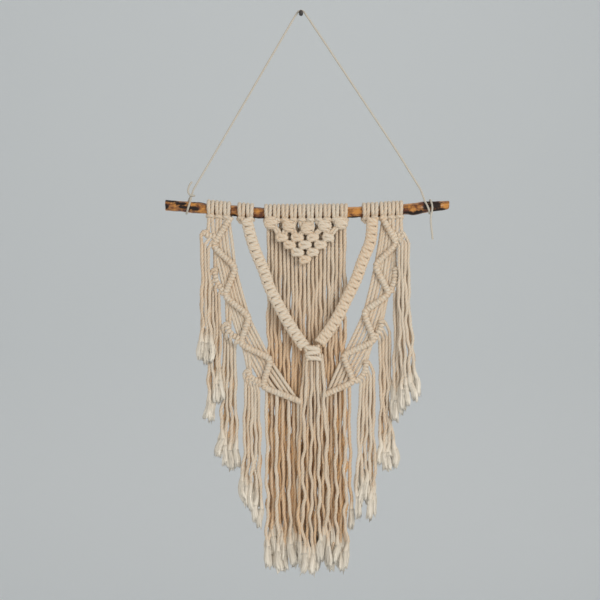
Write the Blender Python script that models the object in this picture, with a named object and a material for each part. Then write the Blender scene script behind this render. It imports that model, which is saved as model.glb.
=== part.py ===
"""Macrame wall hanging on a wooden branch, modelled as it hangs.

Tables and sizes are in millimetres, and MM turns them into Blender's metres.
+Z is up, -Y is the front, and the wall behind the hanging is the plane y = 0.
The origin is the foot of the nail that carries the hanging cord.
"""
from collections import namedtuple
from math import cos, hypot, pi, sin

import bmesh
import bpy
from mathutils import Vector

MM = 0.001

# Driving sizes
CORD = 5.0  # knotted cotton cord
TOOTH = 4.2  # one hanging cord of a fringe, pressed by its neighbours
HANGER = 3.0  # thin cord over the nail
GAP = 0.3  # clearance between neighbouring solids
WOOD_GAP = 0.4  # clearance between the branch and what is tied round it
WELD_DISTANCE = 0.001  # points closer than this are one
NAIL_RADIUS = 1.6
NAIL_LENGTH = 13.5
NAIL_HEAD_RADIUS = 3.0
NAIL_HEAD_LENGTH = 1.5
NAIL_HEAD_STEP = 0.01  # the head's inner face is this far from the shank's last ring
NAIL_SIDES = 16
HANGER_Y = -6.0  # the hanging cord's distance from the wall at the nail

# Depth of each layer of the hanging, as the y of its middle
BRANCH_Y = -13.5
PANEL_Y = -19.5
NET_Y = -20.0
BAND_Y = -27.0
FRONT_FRINGE_Y = -26.6
BACK_FRINGE_Y = -14.0
CENTRE_FRINGE_Y = -12.5

# Knots
ROW_RADIUS = (4.3, 4.1)  # half-hitch rows, alternate rows by turns
ROW_OVERRUN = 1.2  # how far a row runs past its turning point
ROW_SIDES = 6
FIELD_CORD = 4.6  # width of a slanted cord in a field
FIELD_PITCH = 5.5
FIELD_INSET = 2.2  # a field cord stops this far from the row's middle
LEFT_FIELD_REACH = 0.93  # share of a row's length that its field covers
RIGHT_FIELD_REACH = 0.86
SIDE_KNOT_RADIUS = 5.0
SIDE_KNOT_WAIST = 4.2
SIDE_KNOT_HITCHES = 4
COLUMN_SIDES = 6
BAND_PITCH = 11.4  # one square knot of a band
BAND_HALF_WIDTH = 8.0
BAND_WAIST = 6.8
BAND_HALF_DEPTH = 4.0
BAND_WAIST_DEPTH = 3.4
BAND_SIDES = 8
BERRY_HALF = (11.0, 7.0, 8.5)
NET_KNOT_HALF = (9.4, 4.5, 6.0)
NET_CORD = 6.0
BALL_SEGMENTS = 8
BALL_ROWS = 5
HEADER = 3.5  # height of the strip that joins a fringe's cords

# The branch: circular sections where something is tied round it, knots and swellings between
Station = namedtuple("Station", "x z radius lobe")
BRANCH = [
    Station(-191.0, -271.5, 7.9, 0.5),
    Station(-179.0, -272.4, 7.6, 0.4),
    Station(-168.0, -273.1, 7.7, 0.0),
    Station(-151.0, -274.6, 7.7, 0.0),
    Station(-142.0, -275.3, 8.1, 0.5),
    Station(-133.0, -276.0, 7.5, 0.0),
    Station(-97.5, -279.4, 7.5, 0.0),
    Station(-93.5, -279.8, 7.9, 0.4),
    Station(-89.5, -280.1, 7.5, 0.0),
    Station(-65.5, -281.6, 7.5, 0.0),
    Station(-59.0, -282.2, 7.9, 0.4),
    Station(-53.0, -282.5, 7.4, 0.0),
    Station(67.0, -281.6, 7.4, 0.0),
    Station(76.0, -281.3, 7.8, 0.4),
    Station(84.5, -281.0, 7.5, 0.0),
    Station(144.0, -277.4, 7.5, 0.0),
    Station(158.0, -277.0, 9.1, 0.6),
    Station(171.0, -274.6, 8.2, 0.0),
    Station(186.0, -273.3, 7.0, 0.0),
    Station(197.0, -272.6, 6.6, 0.4),
    Station(208.0, -271.8, 6.1, 0.3),
]
BRANCH_SIDES = 14
BRANCH_LOBES = 3
BRANCH_LOBE_TWIST = 0.11  # radians that the lobes turn in each millimetre
BRANCH_SHARP_ANGLE = pi / 4

# Headings: groups of lark's heads round the branch
Heading = namedtuple("Heading", "name x_from x_to knots")
HEADINGS = [
    Heading("heading_left", -132.0, -98.2, 3),
    Heading("heading_band_left", -89.0, -66.4, 2),
    Heading("heading_centre", -52.3, 66.3, 10),
    Heading("heading_band_right", 85.0, 109.2, 2),
    Heading("heading_right", 110.0, 143.3, 3),
]
HEADING_VALLEY = 1.3  # how far the wraps sink between two lark's heads
CLEARANCE_STATIONS = (-136.0, -97.5, -65.5, -53.0, 67.0, 84.5, 147.0)

# Turning points of the zigzag rows
Point = namedtuple("Point", "x z")
LEFT_TURNS = [
    Point(-99.5, -291.0),
    Point(-123.5, -329.0),
    Point(-91.0, -359.0),
    Point(-107.0, -399.0),
    Point(-72.0, -428.0),
    Point(-84.0, -463.0),
    Point(-42.0, -490.0),
    Point(-52.0, -521.0),
    Point(-3.0, -545.0),
]
RIGHT_TURNS = [
    Point(113.5, -289.0),
    Point(134.5, -326.0),
    Point(103.0, -356.0),
    Point(124.0, -396.0),
    Point(87.5, -421.0),
    Point(103.5, -458.0),
    Point(60.0, -485.0),
    Point(72.5, -514.0),
    Point(33.6, -537.0),
]

# Knot columns at the outer turns, each from its first hitch to its last
Column = namedtuple("Column", "start end")
LEFT_COLUMNS = [
    Column(Point(-137.0, -312.0), Point(-117.0, -314.0)),
    Column(Point(-122.4, -361.0), Point(-110.5, -389.0)),
    Column(Point(-105.5, -437.5), Point(-87.0, -459.5)),
    Column(Point(-76.0, -503.0), Point(-57.5, -520.0)),
]
RIGHT_COLUMNS = [
    Column(Point(143.0, -316.0), Point(127.0, -312.0)),
    Column(Point(133.5, -360.0), Point(126.5, -389.0)),
    Column(Point(114.8, -434.0), Point(104.8, -454.0)),
    Column(Point(93.0, -490.0), Point(79.0, -517.5)),
]

# Middle lines of the two square-knot bands
LEFT_BAND = [
    Point(-75.6, -289.5),
    Point(-71.4, -311.0),
    Point(-65.8, -330.0),
    Point(-59.5, -346.0),
    Point(-51.8, -364.0),
    Point(-44.3, -386.0),
    Point(-31.4, -411.6),
    Point(-16.8, -438.0),
    Point(0.5, -463.5),
]
RIGHT_BAND = [
    Point(99.6, -289.5),
    Point(98.6, -311.0),
    Point(96.0, -326.0),
    Point(91.0, -338.0),
    Point(84.0, -355.6),
    Point(78.5, -372.0),
    Point(71.0, -388.5),
    Point(63.0, -404.6),
    Point(54.6, -422.0),
    Point(44.0, -440.0),
    Point(30.5, -458.5),
]
JOIN_NOTCH = Point(17.0, -466.5)
JOIN_FOOT = (Point(33.5, -486.0), Point(0.5, -486.0))
JOIN_HALF_DEPTH = 4.4

# Centre: berry knots, then rows of square knots that shrink to a point
BERRIES = [
    Point(-42.3, -296.0),
    Point(-16.8, -300.6),
    Point(9.2, -304.0),
    Point(33.0, -300.2),
    Point(56.0, -296.4),
]
NET_CENTRE_X = 5.6
NET_TOP_Z = -317.2
NET_PITCH_X = 21.6
NET_PITCH_Z = 10.3
NET_TOP_KNOTS = 4

# Fringes: each row is one cord, by x at its top, its middle and its end
Strand = namedtuple("Strand", "x_top x_mid x_end z_end")
LEFT_TIERS = [
    [
        Strand(-138.6, -137.6, -140.0, -486.0),
        Strand(-134.0, -132.6, -133.0, -491.0),
        Strand(-129.4, -127.6, -125.5, -489.0),
    ],
    [
        Strand(-128.4, -128.2, -129.5, -568.0),
        Strand(-123.6, -123.0, -123.5, -571.0),
        Strand(-119.0, -118.2, -118.4, -545.0),
        Strand(-114.6, -113.2, -113.6, -542.0),
    ],
    [
        Strand(-107.0, -109.5, -113.0, -622.0),
        Strand(-102.3, -104.0, -106.0, -634.0),
        Strand(-97.6, -98.0, -98.0, -641.0),
        Strand(-92.9, -91.5, -89.0, -636.0),
    ],
    [
        Strand(-77.5, -79.5, -83.5, -684.0),
        Strand(-73.0, -74.0, -77.0, -690.0),
        Strand(-68.5, -68.8, -70.0, -698.0),
        Strand(-64.0, -63.4, -62.5, -714.0),
        Strand(-59.4, -58.0, -56.5, -720.0),
    ],
]
RIGHT_TIERS = [
    [
        Strand(136.6, 138.0, 143.0, -556.0),
        Strand(141.3, 142.8, 149.0, -550.0),
        Strand(146.0, 147.6, 156.0, -543.0),
        Strand(150.6, 152.4, 164.5, -537.0),
    ],
    [
        Strand(130.8, 131.0, 127.5, -566.0),
        Strand(135.4, 135.8, 132.8, -571.0),
        Strand(140.0, 140.6, 138.6, -560.0),
    ],
    [
        Strand(110.6, 112.0, 110.0, -632.0),
        Strand(115.2, 117.0, 117.4, -641.0),
        Strand(119.8, 121.8, 124.4, -640.0),
        Strand(124.4, 126.8, 131.5, -636.0),
    ],
    [
        Strand(83.4, 80.0, 78.0, -706.0),
        Strand(88.0, 85.4, 84.0, -688.0),
        Strand(92.6, 91.0, 90.6, -682.0),
        Strand(97.2, 97.0, 97.2, -709.0),
        Strand(101.8, 102.4, 103.6, -702.0),
    ],
]
LEFT_FOOT = [
    Strand(-48.5, -47.5, -46.5, -776.0),
    Strand(-41.0, -40.5, -38.5, -762.0),
    Strand(-33.5, -34.0, -30.5, -782.0),
    Strand(-25.5, -25.0, -20.0, -781.0),
    Strand(-17.0, -16.5, -13.5, -772.0),
    Strand(-9.6, -9.4, -6.5, -768.0),
    Strand(-3.4, -3.0, 1.0, -777.0),
]
RIGHT_FOOT = [
    Strand(36.6, 37.0, 39.0, -776.0),
    Strand(42.4, 43.0, 45.0, -782.0),
    Strand(48.4, 49.0, 51.0, -770.0),
    Strand(54.8, 55.4, 57.0, -782.0),
    Strand(61.4, 62.0, 63.6, -779.0),
    Strand(67.8, 68.6, 71.0, -724.0),
]
BAND_FRINGE = [
    Strand(1.2, -2.0, -0.5, -768.0),
    Strand(5.7, 3.4, 5.0, -783.0),
    Strand(10.2, 8.8, 10.4, -776.0),
    Strand(14.7, 14.2, 15.6, -784.0),
    Strand(19.2, 19.6, 20.8, -781.0),
    Strand(23.7, 25.0, 26.0, -766.0),
    Strand(28.2, 30.4, 31.4, -758.0),
    Strand(32.7, 35.8, 37.0, -774.0),
]
BAND_FRINGE_TOP = -486.4
CENTRE_FRINGE_COUNT = 20
CENTRE_FRINGE_X = (-46.0, 61.5)
CENTRE_FRINGE_SWAY = 0.5  # how far a cord's middle strays sideways
CENTRE_FRINGE_SWAY_STEP = 1.7  # radians of sway from one cord to the next
CENTRE_FRINGE_ENDS = (-762.0, -748.0, -776.0, -755.0, -768.0)
CENTRE_FRINGE_PEAK = -353.0
CENTRE_FRINGE_SLOPE = 0.9
CENTRE_FRINGE_SHOULDER = -306.0
MID_FALL = 0.5  # a strand's middle point, as a share of its fall

# Hanging cord: turns round the branch, run over the nail and free ends
LEFT_WRAP_X = (-162.5, -155.5)
RIGHT_WRAP_X = (174.0, 184.0)
WRAP_EDGE = 0.8  # rounding at each side of the turns
Route = namedtuple("Route", "x y z")
HANGER_ROUTE = [
    Route(-157.8, -13.5, -260.2),
    Route(-151.0, -13.2, -249.4),
    Route(-118.6, -11.8, -194.1),
    Route(-80.0, -9.8, -127.6),
    Route(-40.0, -7.8, -58.7),
    Route(-10.5, -6.3, -7.9),
    Route(-5.1, -6.0, 0.7),
    Route(-3.0, -6.0, 2.7),
    Route(0.0, -6.0, 3.5),
    Route(3.0, -6.0, 2.7),
    Route(5.1, -6.0, 0.7),
    Route(11.0, -6.3, -8.3),
    Route(45.0, -7.8, -59.5),
    Route(90.0, -9.8, -127.6),
    Route(133.5, -11.8, -193.6),
    Route(171.0, -13.2, -250.0),
    Route(177.9, -13.5, -260.4),
]
LEFT_TAIL_ROUTE = [
    Route(-161.0, -15.0, -260.4),
    Route(-162.4, -15.8, -257.4),
    Route(-165.2, -16.4, -254.8),
    Route(-168.0, -16.8, -254.2),
]
RIGHT_TAIL_ROUTE = [
    Route(179.6, -18.0, -287.0),
    Route(180.6, -18.4, -294.0),
    Route(182.0, -18.6, -303.0),
    Route(183.6, -18.8, -312.0),
    Route(185.0, -19.0, -320.5),
]
HANGER_SPACING = 9.0
CROWN_SPACING = 2.5  # closer points where the cord turns over the nail
CROWN_REACH = 10.0
TAIL_SPACING = 4.5
CURVE_STEPS = 24  # fine steps between two points of a route


# ---------------------------------------------------------------- materials
def material(name, colour, roughness, metallic=0.0):
    """A Principled material with one colour, roughness and metallic value."""
    made = bpy.data.materials.new(name)
    made.use_nodes = True
    shader = made.node_tree.nodes["Principled BSDF"]
    shader.inputs["Base Color"].default_value = (*colour, 1.0)
    shader.inputs["Roughness"].default_value = roughness
    shader.inputs["Metallic"].default_value = metallic
    return made


# ---------------------------------------------------------------- mesh helpers
def finish(name, bm, look, smooth=False):
    """Turn a bmesh in millimetres into an object in metres."""
    bmesh.ops.remove_doubles(bm, verts=bm.verts, dist=WELD_DISTANCE)
    bmesh.ops.recalc_face_normals(bm, faces=bm.faces)
    bmesh.ops.scale(bm, vec=(MM, MM, MM), verts=bm.verts)
    mesh = bpy.data.meshes.new(name)
    bm.to_mesh(mesh)
    bm.free()
    mesh.materials.append(look)
    if smooth:
        mesh.shade_smooth()
        mesh.set_sharp_from_angle(angle=BRANCH_SHARP_ANGLE)
    made = bpy.data.objects.new(name, mesh)
    bpy.context.collection.objects.link(made)
    return made


def add_loft(bm, rings):
    """Skin a list of rings of points and close both ends."""
    loops = [[bm.verts.new(point) for point in ring] for ring in rings]
    count = len(loops[0])
    for lower, upper in zip(loops, loops[1:]):
        for i in range(count):
            j = (i + 1) % count
            bm.faces.new((lower[i], lower[j], upper[j], upper[i]))
    bm.faces.new(list(reversed(loops[0])))
    bm.faces.new(loops[-1])


def add_prism(bm, outline, y_middle, depth):
    """Extrude an outline in the x-z plane along y."""
    front = [bm.verts.new((x, y_middle - depth / 2, z)) for x, z in outline]
    face = bm.faces.new(front)
    grown = bmesh.ops.extrude_face_region(bm, geom=[face])["geom"]
    back = [item for item in grown if isinstance(item, bmesh.types.BMVert)]
    bmesh.ops.translate(bm, verts=back, vec=(0, depth, 0))


def add_ellipsoid(bm, centre, y_middle, half, segments, rows):
    """An ellipsoid of the given half sizes."""
    made = bmesh.ops.create_uvsphere(bm, u_segments=segments, v_segments=rows, radius=1.0)
    bmesh.ops.scale(bm, vec=half, verts=made["verts"])
    bmesh.ops.translate(bm, vec=(centre.x, y_middle, centre.z), verts=made["verts"])


def toward(start, end, distance):
    """The point at a distance from start on the line to end."""
    length = hypot(end.x - start.x, end.z - start.z)
    share = distance / length
    return Point(start.x + (end.x - start.x) * share, start.z + (end.z - start.z) * share)


def between(start, end, share):
    """The point at a share of the way from start to end."""
    return Point(start.x + (end.x - start.x) * share, start.z + (end.z - start.z) * share)


def side_of(start, end):
    """The unit vector square to a line, turned to its left as seen from the front."""
    length = hypot(end.x - start.x, end.z - start.z)
    return Point(-(end.z - start.z) / length, (end.x - start.x) / length)


def oval_ring(centre, side, y_middle, half_width, half_depth, count):
    """A ring of points round a line in the x-z plane."""
    ring = []
    for i in range(count):
        turn = 2 * pi * i / count
        across = half_width * cos(turn)
        y = y_middle + half_depth * sin(turn)
        ring.append((centre.x + side.x * across, y, centre.z + side.z * across))
    return ring


def weld(base, operands):
    """Join closed operands to the base with Boolean unions."""
    for operand in operands:
        hide_cutter(operand)
        joined = base.modifiers.new("weld " + operand.name, "BOOLEAN")
        joined.operation = "UNION"
        joined.solver = "EXACT"
        joined.object = operand


def hide_cutter(cutter):
    """Mark an object as a construction guide, not a piece."""
    cutter.hide_render = True
    cutter.display_type = "WIRE"


def cut(base, cutter):
    """Cut the base back from what it lies against."""
    cutting = base.modifiers.new("clear " + cutter.name, "BOOLEAN")
    cutting.operation = "DIFFERENCE"
    cutting.solver = "EXACT"
    cutting.object = cutter


# ---------------------------------------------------------------- branch and headings
def branch_at(x):
    """The branch's middle height and radius at x."""
    for left, right in zip(BRANCH, BRANCH[1:]):
        if left.x <= x <= right.x:
            share = (x - left.x) / (right.x - left.x)
            radius = left.radius + (right.radius - left.radius) * share
            return left.z + (right.z - left.z) * share, radius
    raise ValueError("x is off the branch")


def branch_ring(x, z, radius, lobe=0.0):
    """A section of the branch, with low lobes where the wood is uneven."""
    ring = []
    for i in range(BRANCH_SIDES):
        turn = 2 * pi * i / BRANCH_SIDES
        reach = radius + lobe * sin(BRANCH_LOBES * turn + BRANCH_LOBE_TWIST * x)
        ring.append((x, BRANCH_Y + reach * cos(turn), z + reach * sin(turn)))
    return ring


def make_branch(look):
    """The whole branch, a loft through its stations."""
    bm = bmesh.new()
    add_loft(bm, [branch_ring(row.x, row.z, row.radius, row.lobe) for row in BRANCH])
    return finish("branch", bm, look, smooth=True)


def sleeve(name, stations, look):
    """A tube round the branch whose outer radius is listed at stations of x and wrap thickness."""
    bm = bmesh.new()
    outer = []
    inner = []
    for x, thickness in stations:
        z, radius = branch_at(x)
        outer.append([bm.verts.new(p) for p in branch_ring(x, z, radius + WOOD_GAP + thickness)])
    for x in (stations[0][0], stations[-1][0]):
        z, radius = branch_at(x)
        inner.append([bm.verts.new(p) for p in branch_ring(x, z, radius + WOOD_GAP)])
    walls = list(zip(outer, outer[1:]))
    walls += [(inner[1], inner[0]), (inner[0], outer[0]), (outer[-1], inner[1])]
    for first, second in walls:
        for i in range(BRANCH_SIDES):
            j = (i + 1) % BRANCH_SIDES
            bm.faces.new((first[i], first[j], second[j], second[i]))
    return finish(name, bm, look, smooth=True)


def make_heading(row, look):
    """A group of lark's heads: a sleeve with one swelling for each knot."""
    pitch = (row.x_to - row.x_from) / row.knots
    stations = []
    for i in range(row.knots):
        left = row.x_from + i * pitch
        stations.append((left, CORD - HEADING_VALLEY))
        stations.append((left + 0.5 * pitch, CORD))
    stations.append((row.x_to, CORD - HEADING_VALLEY))
    return sleeve(row.name, stations, look)


def make_wrap(name, x_range, look):
    """The hanging cord's turns round the branch."""
    low, high = x_range
    thin = HANGER - WRAP_EDGE
    stations = [(low, thin), (low + WRAP_EDGE, HANGER), (high - WRAP_EDGE, HANGER), (high, thin)]
    return sleeve(name, stations, look)


def make_heading_clearance(look):
    """Guide solid: the headings' outside with its clearance, which the knotted work is cut back from."""
    bm = bmesh.new()
    rings = []
    for x in CLEARANCE_STATIONS:
        z, radius = branch_at(x)
        rings.append(branch_ring(x, z, radius + WOOD_GAP + CORD + GAP))
    add_loft(bm, rings)
    made = finish("heading_clearance", bm, look)
    hide_cutter(made)
    return made


# ---------------------------------------------------------------- knotted work
def add_row(bm, start, end, radius):
    """One row of half hitches, a round bar between two turning points."""
    first = toward(start, end, -ROW_OVERRUN)
    last = toward(end, start, -ROW_OVERRUN)
    side = side_of(start, end)
    add_loft(bm, [oval_ring(point, side, PANEL_Y, radius, radius, ROW_SIDES) for point in (first, last)])


def add_field(bm, before, corner, after, reach):
    """The slanted cords between two rows that meet at a corner."""
    square = side_of(before, after)
    width = abs((corner.x - before.x) * square.x + (corner.z - before.z) * square.z)
    count = int(width * reach / FIELD_PITCH)
    for i in range(count):
        share = reach - i * FIELD_PITCH / width
        upper = between(corner, before, share)
        lower = between(corner, after, share)
        top = toward(upper, lower, FIELD_INSET)
        foot = toward(lower, upper, FIELD_INSET)
        side = side_of(top, foot)
        half = FIELD_CORD / 2
        outline = [
            (top.x + side.x * half, top.z + side.z * half),
            (top.x - side.x * half, top.z - side.z * half),
            (foot.x - side.x * half, foot.z - side.z * half),
            (foot.x + side.x * half, foot.z + side.z * half),
        ]
        add_prism(bm, outline, PANEL_Y, CORD)


def add_column(bm, column):
    """A short column of hitches at an outer turn of the zigzag."""
    side = side_of(column.start, column.end)
    rings = []
    for i in range(2 * SIDE_KNOT_HITCHES + 1):
        radius = SIDE_KNOT_RADIUS if i % 2 else SIDE_KNOT_WAIST
        centre = between(column.start, column.end, i / (2 * SIDE_KNOT_HITCHES))
        rings.append(oval_ring(centre, side, PANEL_Y, radius, radius, COLUMN_SIDES))
    add_loft(bm, rings)


def make_zigzag(name, turns, columns, field_reach, look, clearance):
    """A zigzag panel: rows by turns, the fields between them and the outer knot columns."""
    rows = list(zip(turns, turns[1:]))
    parts = []
    for parity in (0, 1):
        bm = bmesh.new()
        for start, end in rows[parity::2]:
            add_row(bm, start, end, ROW_RADIUS[parity])
        parts.append(finish(name if parity == 0 else name + "_even_rows", bm, look))
    fields = bmesh.new()
    for i in range(len(turns) - 2):
        add_field(fields, turns[i], turns[i + 1], turns[i + 2], field_reach)
    parts.append(finish(name + "_fields", fields, look))
    knots = bmesh.new()
    for column in columns:
        add_column(knots, column)
    parts.append(finish(name + "_columns", knots, look))
    weld(parts[0], parts[1:])
    cut(parts[0], clearance)
    return parts[0]


def make_band(name, route, look, clearance):
    """A square-knot band: an oval section that swells at each knot along its middle line."""
    lengths = [hypot(b.x - a.x, b.z - a.z) for a, b in zip(route, route[1:])]
    knots = round(sum(lengths) / BAND_PITCH)
    steps = 2 * knots
    rings = []
    for i in range(steps + 1):
        left = sum(lengths) * i / steps
        leg = 0
        while leg < len(lengths) - 1 and left > lengths[leg]:
            left -= lengths[leg]
            leg += 1
        centre = between(route[leg], route[leg + 1], left / lengths[leg])
        before = route[max(leg - 1, 0)] if left < lengths[leg] / 2 else route[leg]
        after = route[leg + 1] if left < lengths[leg] / 2 else route[min(leg + 2, len(route) - 1)]
        side = side_of(before, after)
        half_width = BAND_HALF_WIDTH if i % 2 else BAND_WAIST
        half_depth = BAND_HALF_DEPTH if i % 2 else BAND_WAIST_DEPTH
        rings.append(oval_ring(centre, side, BAND_Y, half_width, half_depth, BAND_SIDES))
    bm = bmesh.new()
    add_loft(bm, rings)
    made = finish(name, bm, look)
    cut(made, clearance)
    return made


def make_join(look):
    """The big knot where the bands meet, cut square to each band's end."""
    corners = []
    for route in (LEFT_BAND, RIGHT_BAND):
        start, end = route[-2], route[-1]
        foot = toward(end, start, -2 * GAP)
        side = side_of(start, end)
        edges = (-BAND_HALF_WIDTH, BAND_HALF_WIDTH)
        corners.append(sorted((foot.x + side.x * edge, foot.z + side.z * edge) for edge in edges))
    outline = corners[0] + [(JOIN_NOTCH.x, JOIN_NOTCH.z)] + corners[1]
    outline += [(point.x, point.z) for point in JOIN_FOOT]
    bm = bmesh.new()
    add_prism(bm, outline, BAND_Y, 2 * JOIN_HALF_DEPTH)
    return finish("band_join", bm, look)


def net_knots():
    """Middles of the square knots, row by row."""
    rows = []
    for row in range(NET_TOP_KNOTS):
        count = NET_TOP_KNOTS - row
        left = NET_CENTRE_X - NET_PITCH_X * (count - 1) / 2
        z = NET_TOP_Z - NET_PITCH_Z * row
        rows.append([Point(left + NET_PITCH_X * i, z) for i in range(count)])
    return rows


def add_net_cord(bm, start, end):
    """A flat pair of cords that runs from knot to knot."""
    side = side_of(start, end)
    half = NET_CORD / 2
    outline = [
        (start.x + side.x * half, start.z + side.z * half),
        (start.x - side.x * half, start.z - side.z * half),
        (end.x - side.x * half, end.z - side.z * half),
        (end.x + side.x * half, end.z + side.z * half),
    ]
    add_prism(bm, outline, NET_Y, CORD)


def make_net(look, clearance):
    """Berry knots and the net of square knots under them, one openwork solid."""
    rows = net_knots()
    berries = bmesh.new()
    for centre in BERRIES:
        add_ellipsoid(berries, centre, NET_Y, BERRY_HALF, BALL_SEGMENTS, BALL_ROWS)
    parts = [finish("knot_net", berries, look)]
    for parity in (0, 1):
        bm = bmesh.new()
        for row in rows[parity::2]:
            for centre in row:
                add_ellipsoid(bm, centre, NET_Y, NET_KNOT_HALF, BALL_SEGMENTS, BALL_ROWS)
        parts.append(finish("net_knots_" + str(parity), bm, look))
    falling = bmesh.new()
    rising = bmesh.new()
    for i in range(NET_TOP_KNOTS):
        add_net_cord(falling, BERRIES[i], rows[NET_TOP_KNOTS - 1 - i][i])
        add_net_cord(rising, BERRIES[i + 1], rows[i][0])
    parts.append(finish("net_cords_falling", falling, look))
    parts.append(finish("net_cords_rising", rising, look))
    weld(parts[0], parts[1:])
    cut(parts[0], clearance)
    return parts[0]


# ---------------------------------------------------------------- fringes
def make_fringe(name, strands, tops, y_middle, look):
    """A comb: cords side by side, joined by a narrow strip along their tops."""
    half = TOOTH / 2
    upper = []
    lower = []
    for i, (strand, top) in enumerate(zip(strands, tops)):
        left = strand.x_top - half
        right = strand.x_top + half
        z_mid = top + (strand.z_end - top) * MID_FALL
        if i > 0:
            shared = min(top, tops[i - 1])
            upper.append((left, shared))
            lower.append((left, shared - HEADER))
        upper += [(left, top), (right, top)]
        lower += [
            (strand.x_mid - half, z_mid),
            (strand.x_end - half, strand.z_end),
            (strand.x_end + half, strand.z_end),
            (strand.x_mid + half, z_mid),
        ]
        if i < len(strands) - 1:
            shared = min(top, tops[i + 1])
            upper.append((right, shared))
            lower.append((right, shared - HEADER))
    outline = []
    for point in upper + lower[::-1]:
        if not outline or outline[-1] != point:
            outline.append(point)
    bm = bmesh.new()
    add_prism(bm, outline, y_middle, CORD)
    return finish(name, bm, look)


def under_edge(edge_start, edge_end, x):
    """Height of the line through two points at x, held at its ends."""
    low, high = sorted((edge_start, edge_end))
    share = min(max((x - low.x) / (high.x - low.x), 0.0), 1.0)
    return low.z + (high.z - low.z) * share


def column_tops(column, strands, outward):
    """Where each cord of a tier leaves the outer edge of its knot column."""
    side = side_of(column.start, column.end)
    if side.z > 0:
        side = Point(-side.x, -side.z)
    if side.x * outward < 0 and abs(side.x) > abs(side.z):
        side = Point(-side.x, -side.z)
    reach = SIDE_KNOT_RADIUS
    start = Point(column.start.x + side.x * reach, column.start.z + side.z * reach)
    end = Point(column.end.x + side.x * reach, column.end.z + side.z * reach)
    tops = []
    for strand in strands:
        edges = (strand.x_top - TOOTH / 2, strand.x_top + TOOTH / 2)
        tops.append(min(under_edge(start, end, x) for x in edges) - 2 * GAP)
    return tops


def row_tops(start, end, strands):
    """Where each cord of a foot fringe leaves the underside of the last row."""
    length = hypot(end.x - start.x, end.z - start.z)
    drop = ROW_RADIUS[1] * length / abs(end.x - start.x) + 2 * GAP
    slope = abs((end.z - start.z) / (end.x - start.x)) * TOOTH / 2
    return [under_edge(start, end, strand.x_top) - drop - slope for strand in strands]


def centre_fringe():
    """The cords behind the bands: even spacing, tops along the net's pointed edge."""
    low, high = CENTRE_FRINGE_X
    pitch = (high - low) / (CENTRE_FRINGE_COUNT - 1)
    strands = []
    tops = []
    for i in range(CENTRE_FRINGE_COUNT):
        x = low + pitch * i
        sway = CENTRE_FRINGE_SWAY * sin(CENTRE_FRINGE_SWAY_STEP * i)
        end = CENTRE_FRINGE_ENDS[i % len(CENTRE_FRINGE_ENDS)]
        strands.append(Strand(x, x + sway, x, end))
        rise = CENTRE_FRINGE_PEAK + CENTRE_FRINGE_SLOPE * max(abs(x - NET_CENTRE_X) - CORD, 0.0)
        tops.append(min(rise, CENTRE_FRINGE_SHOULDER))
    return strands, tops


# ---------------------------------------------------------------- hanging cord and nail
def smooth_route(route, spacing):
    """Points on a smooth curve through the route's points, closer together over the nail."""
    points = [Vector(row) for row in route]
    ends = [2 * points[0] - points[1]] + points + [2 * points[-1] - points[-2]]
    fine = []
    for i in range(1, len(ends) - 2):
        a, b, c, d = ends[i - 1:i + 3]
        for step in range(CURVE_STEPS):
            t = step / CURVE_STEPS
            fine.append(0.5 * (2 * b + (c - a) * t + (2 * a - 5 * b + 4 * c - d) * t * t
                               + (3 * b - 3 * c + d - a) * t * t * t))
    fine.append(points[-1])
    chosen = [fine[0]]
    walked = 0.0
    for p, q in zip(fine, fine[1:]):
        walked += (q - p).length
        wanted = CROWN_SPACING if q.length < CROWN_REACH else spacing
        if walked >= wanted:
            chosen.append(q)
            walked = 0.0
    if walked < spacing / 2 and len(chosen) > 2:
        chosen.pop()
    chosen.append(fine[-1])
    return chosen


def make_cord(name, route, spacing, look):
    """A round cord along a route, with closed ends."""
    points = smooth_route(route, spacing)
    curve = bpy.data.curves.new(name, "CURVE")
    curve.dimensions = "3D"
    curve.bevel_depth = HANGER / 2 * MM
    curve.bevel_resolution = 2
    curve.use_fill_caps = True
    spline = curve.splines.new("POLY")
    spline.points.add(len(points) - 1)
    for target, point in zip(spline.points, points):
        target.co = (point.x * MM, point.y * MM, point.z * MM, 1.0)
    curve.materials.append(look)
    made = bpy.data.objects.new(name, curve)
    bpy.context.collection.objects.link(made)
    return made


def make_nail(look):
    """A round nail that stands out of the wall, with a flat head."""
    head_y = -NAIL_LENGTH + NAIL_HEAD_LENGTH
    profile = [
        (0.0, NAIL_RADIUS),
        (head_y, NAIL_RADIUS),
        (head_y - NAIL_HEAD_STEP, NAIL_HEAD_RADIUS),
        (-NAIL_LENGTH, NAIL_HEAD_RADIUS),
    ]
    turns = [2 * pi * i / NAIL_SIDES for i in range(NAIL_SIDES)]
    rings = [[(radius * cos(turn), y, radius * sin(turn)) for turn in turns] for y, radius in profile]
    bm = bmesh.new()
    add_loft(bm, rings)
    return finish("nail", bm, look, smooth=True)


# ---------------------------------------------------------------- whole object
def clear_scene():
    """Empty the scene before building."""
    for thing in list(bpy.data.objects):
        bpy.data.objects.remove(thing, do_unlink=True)


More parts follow.
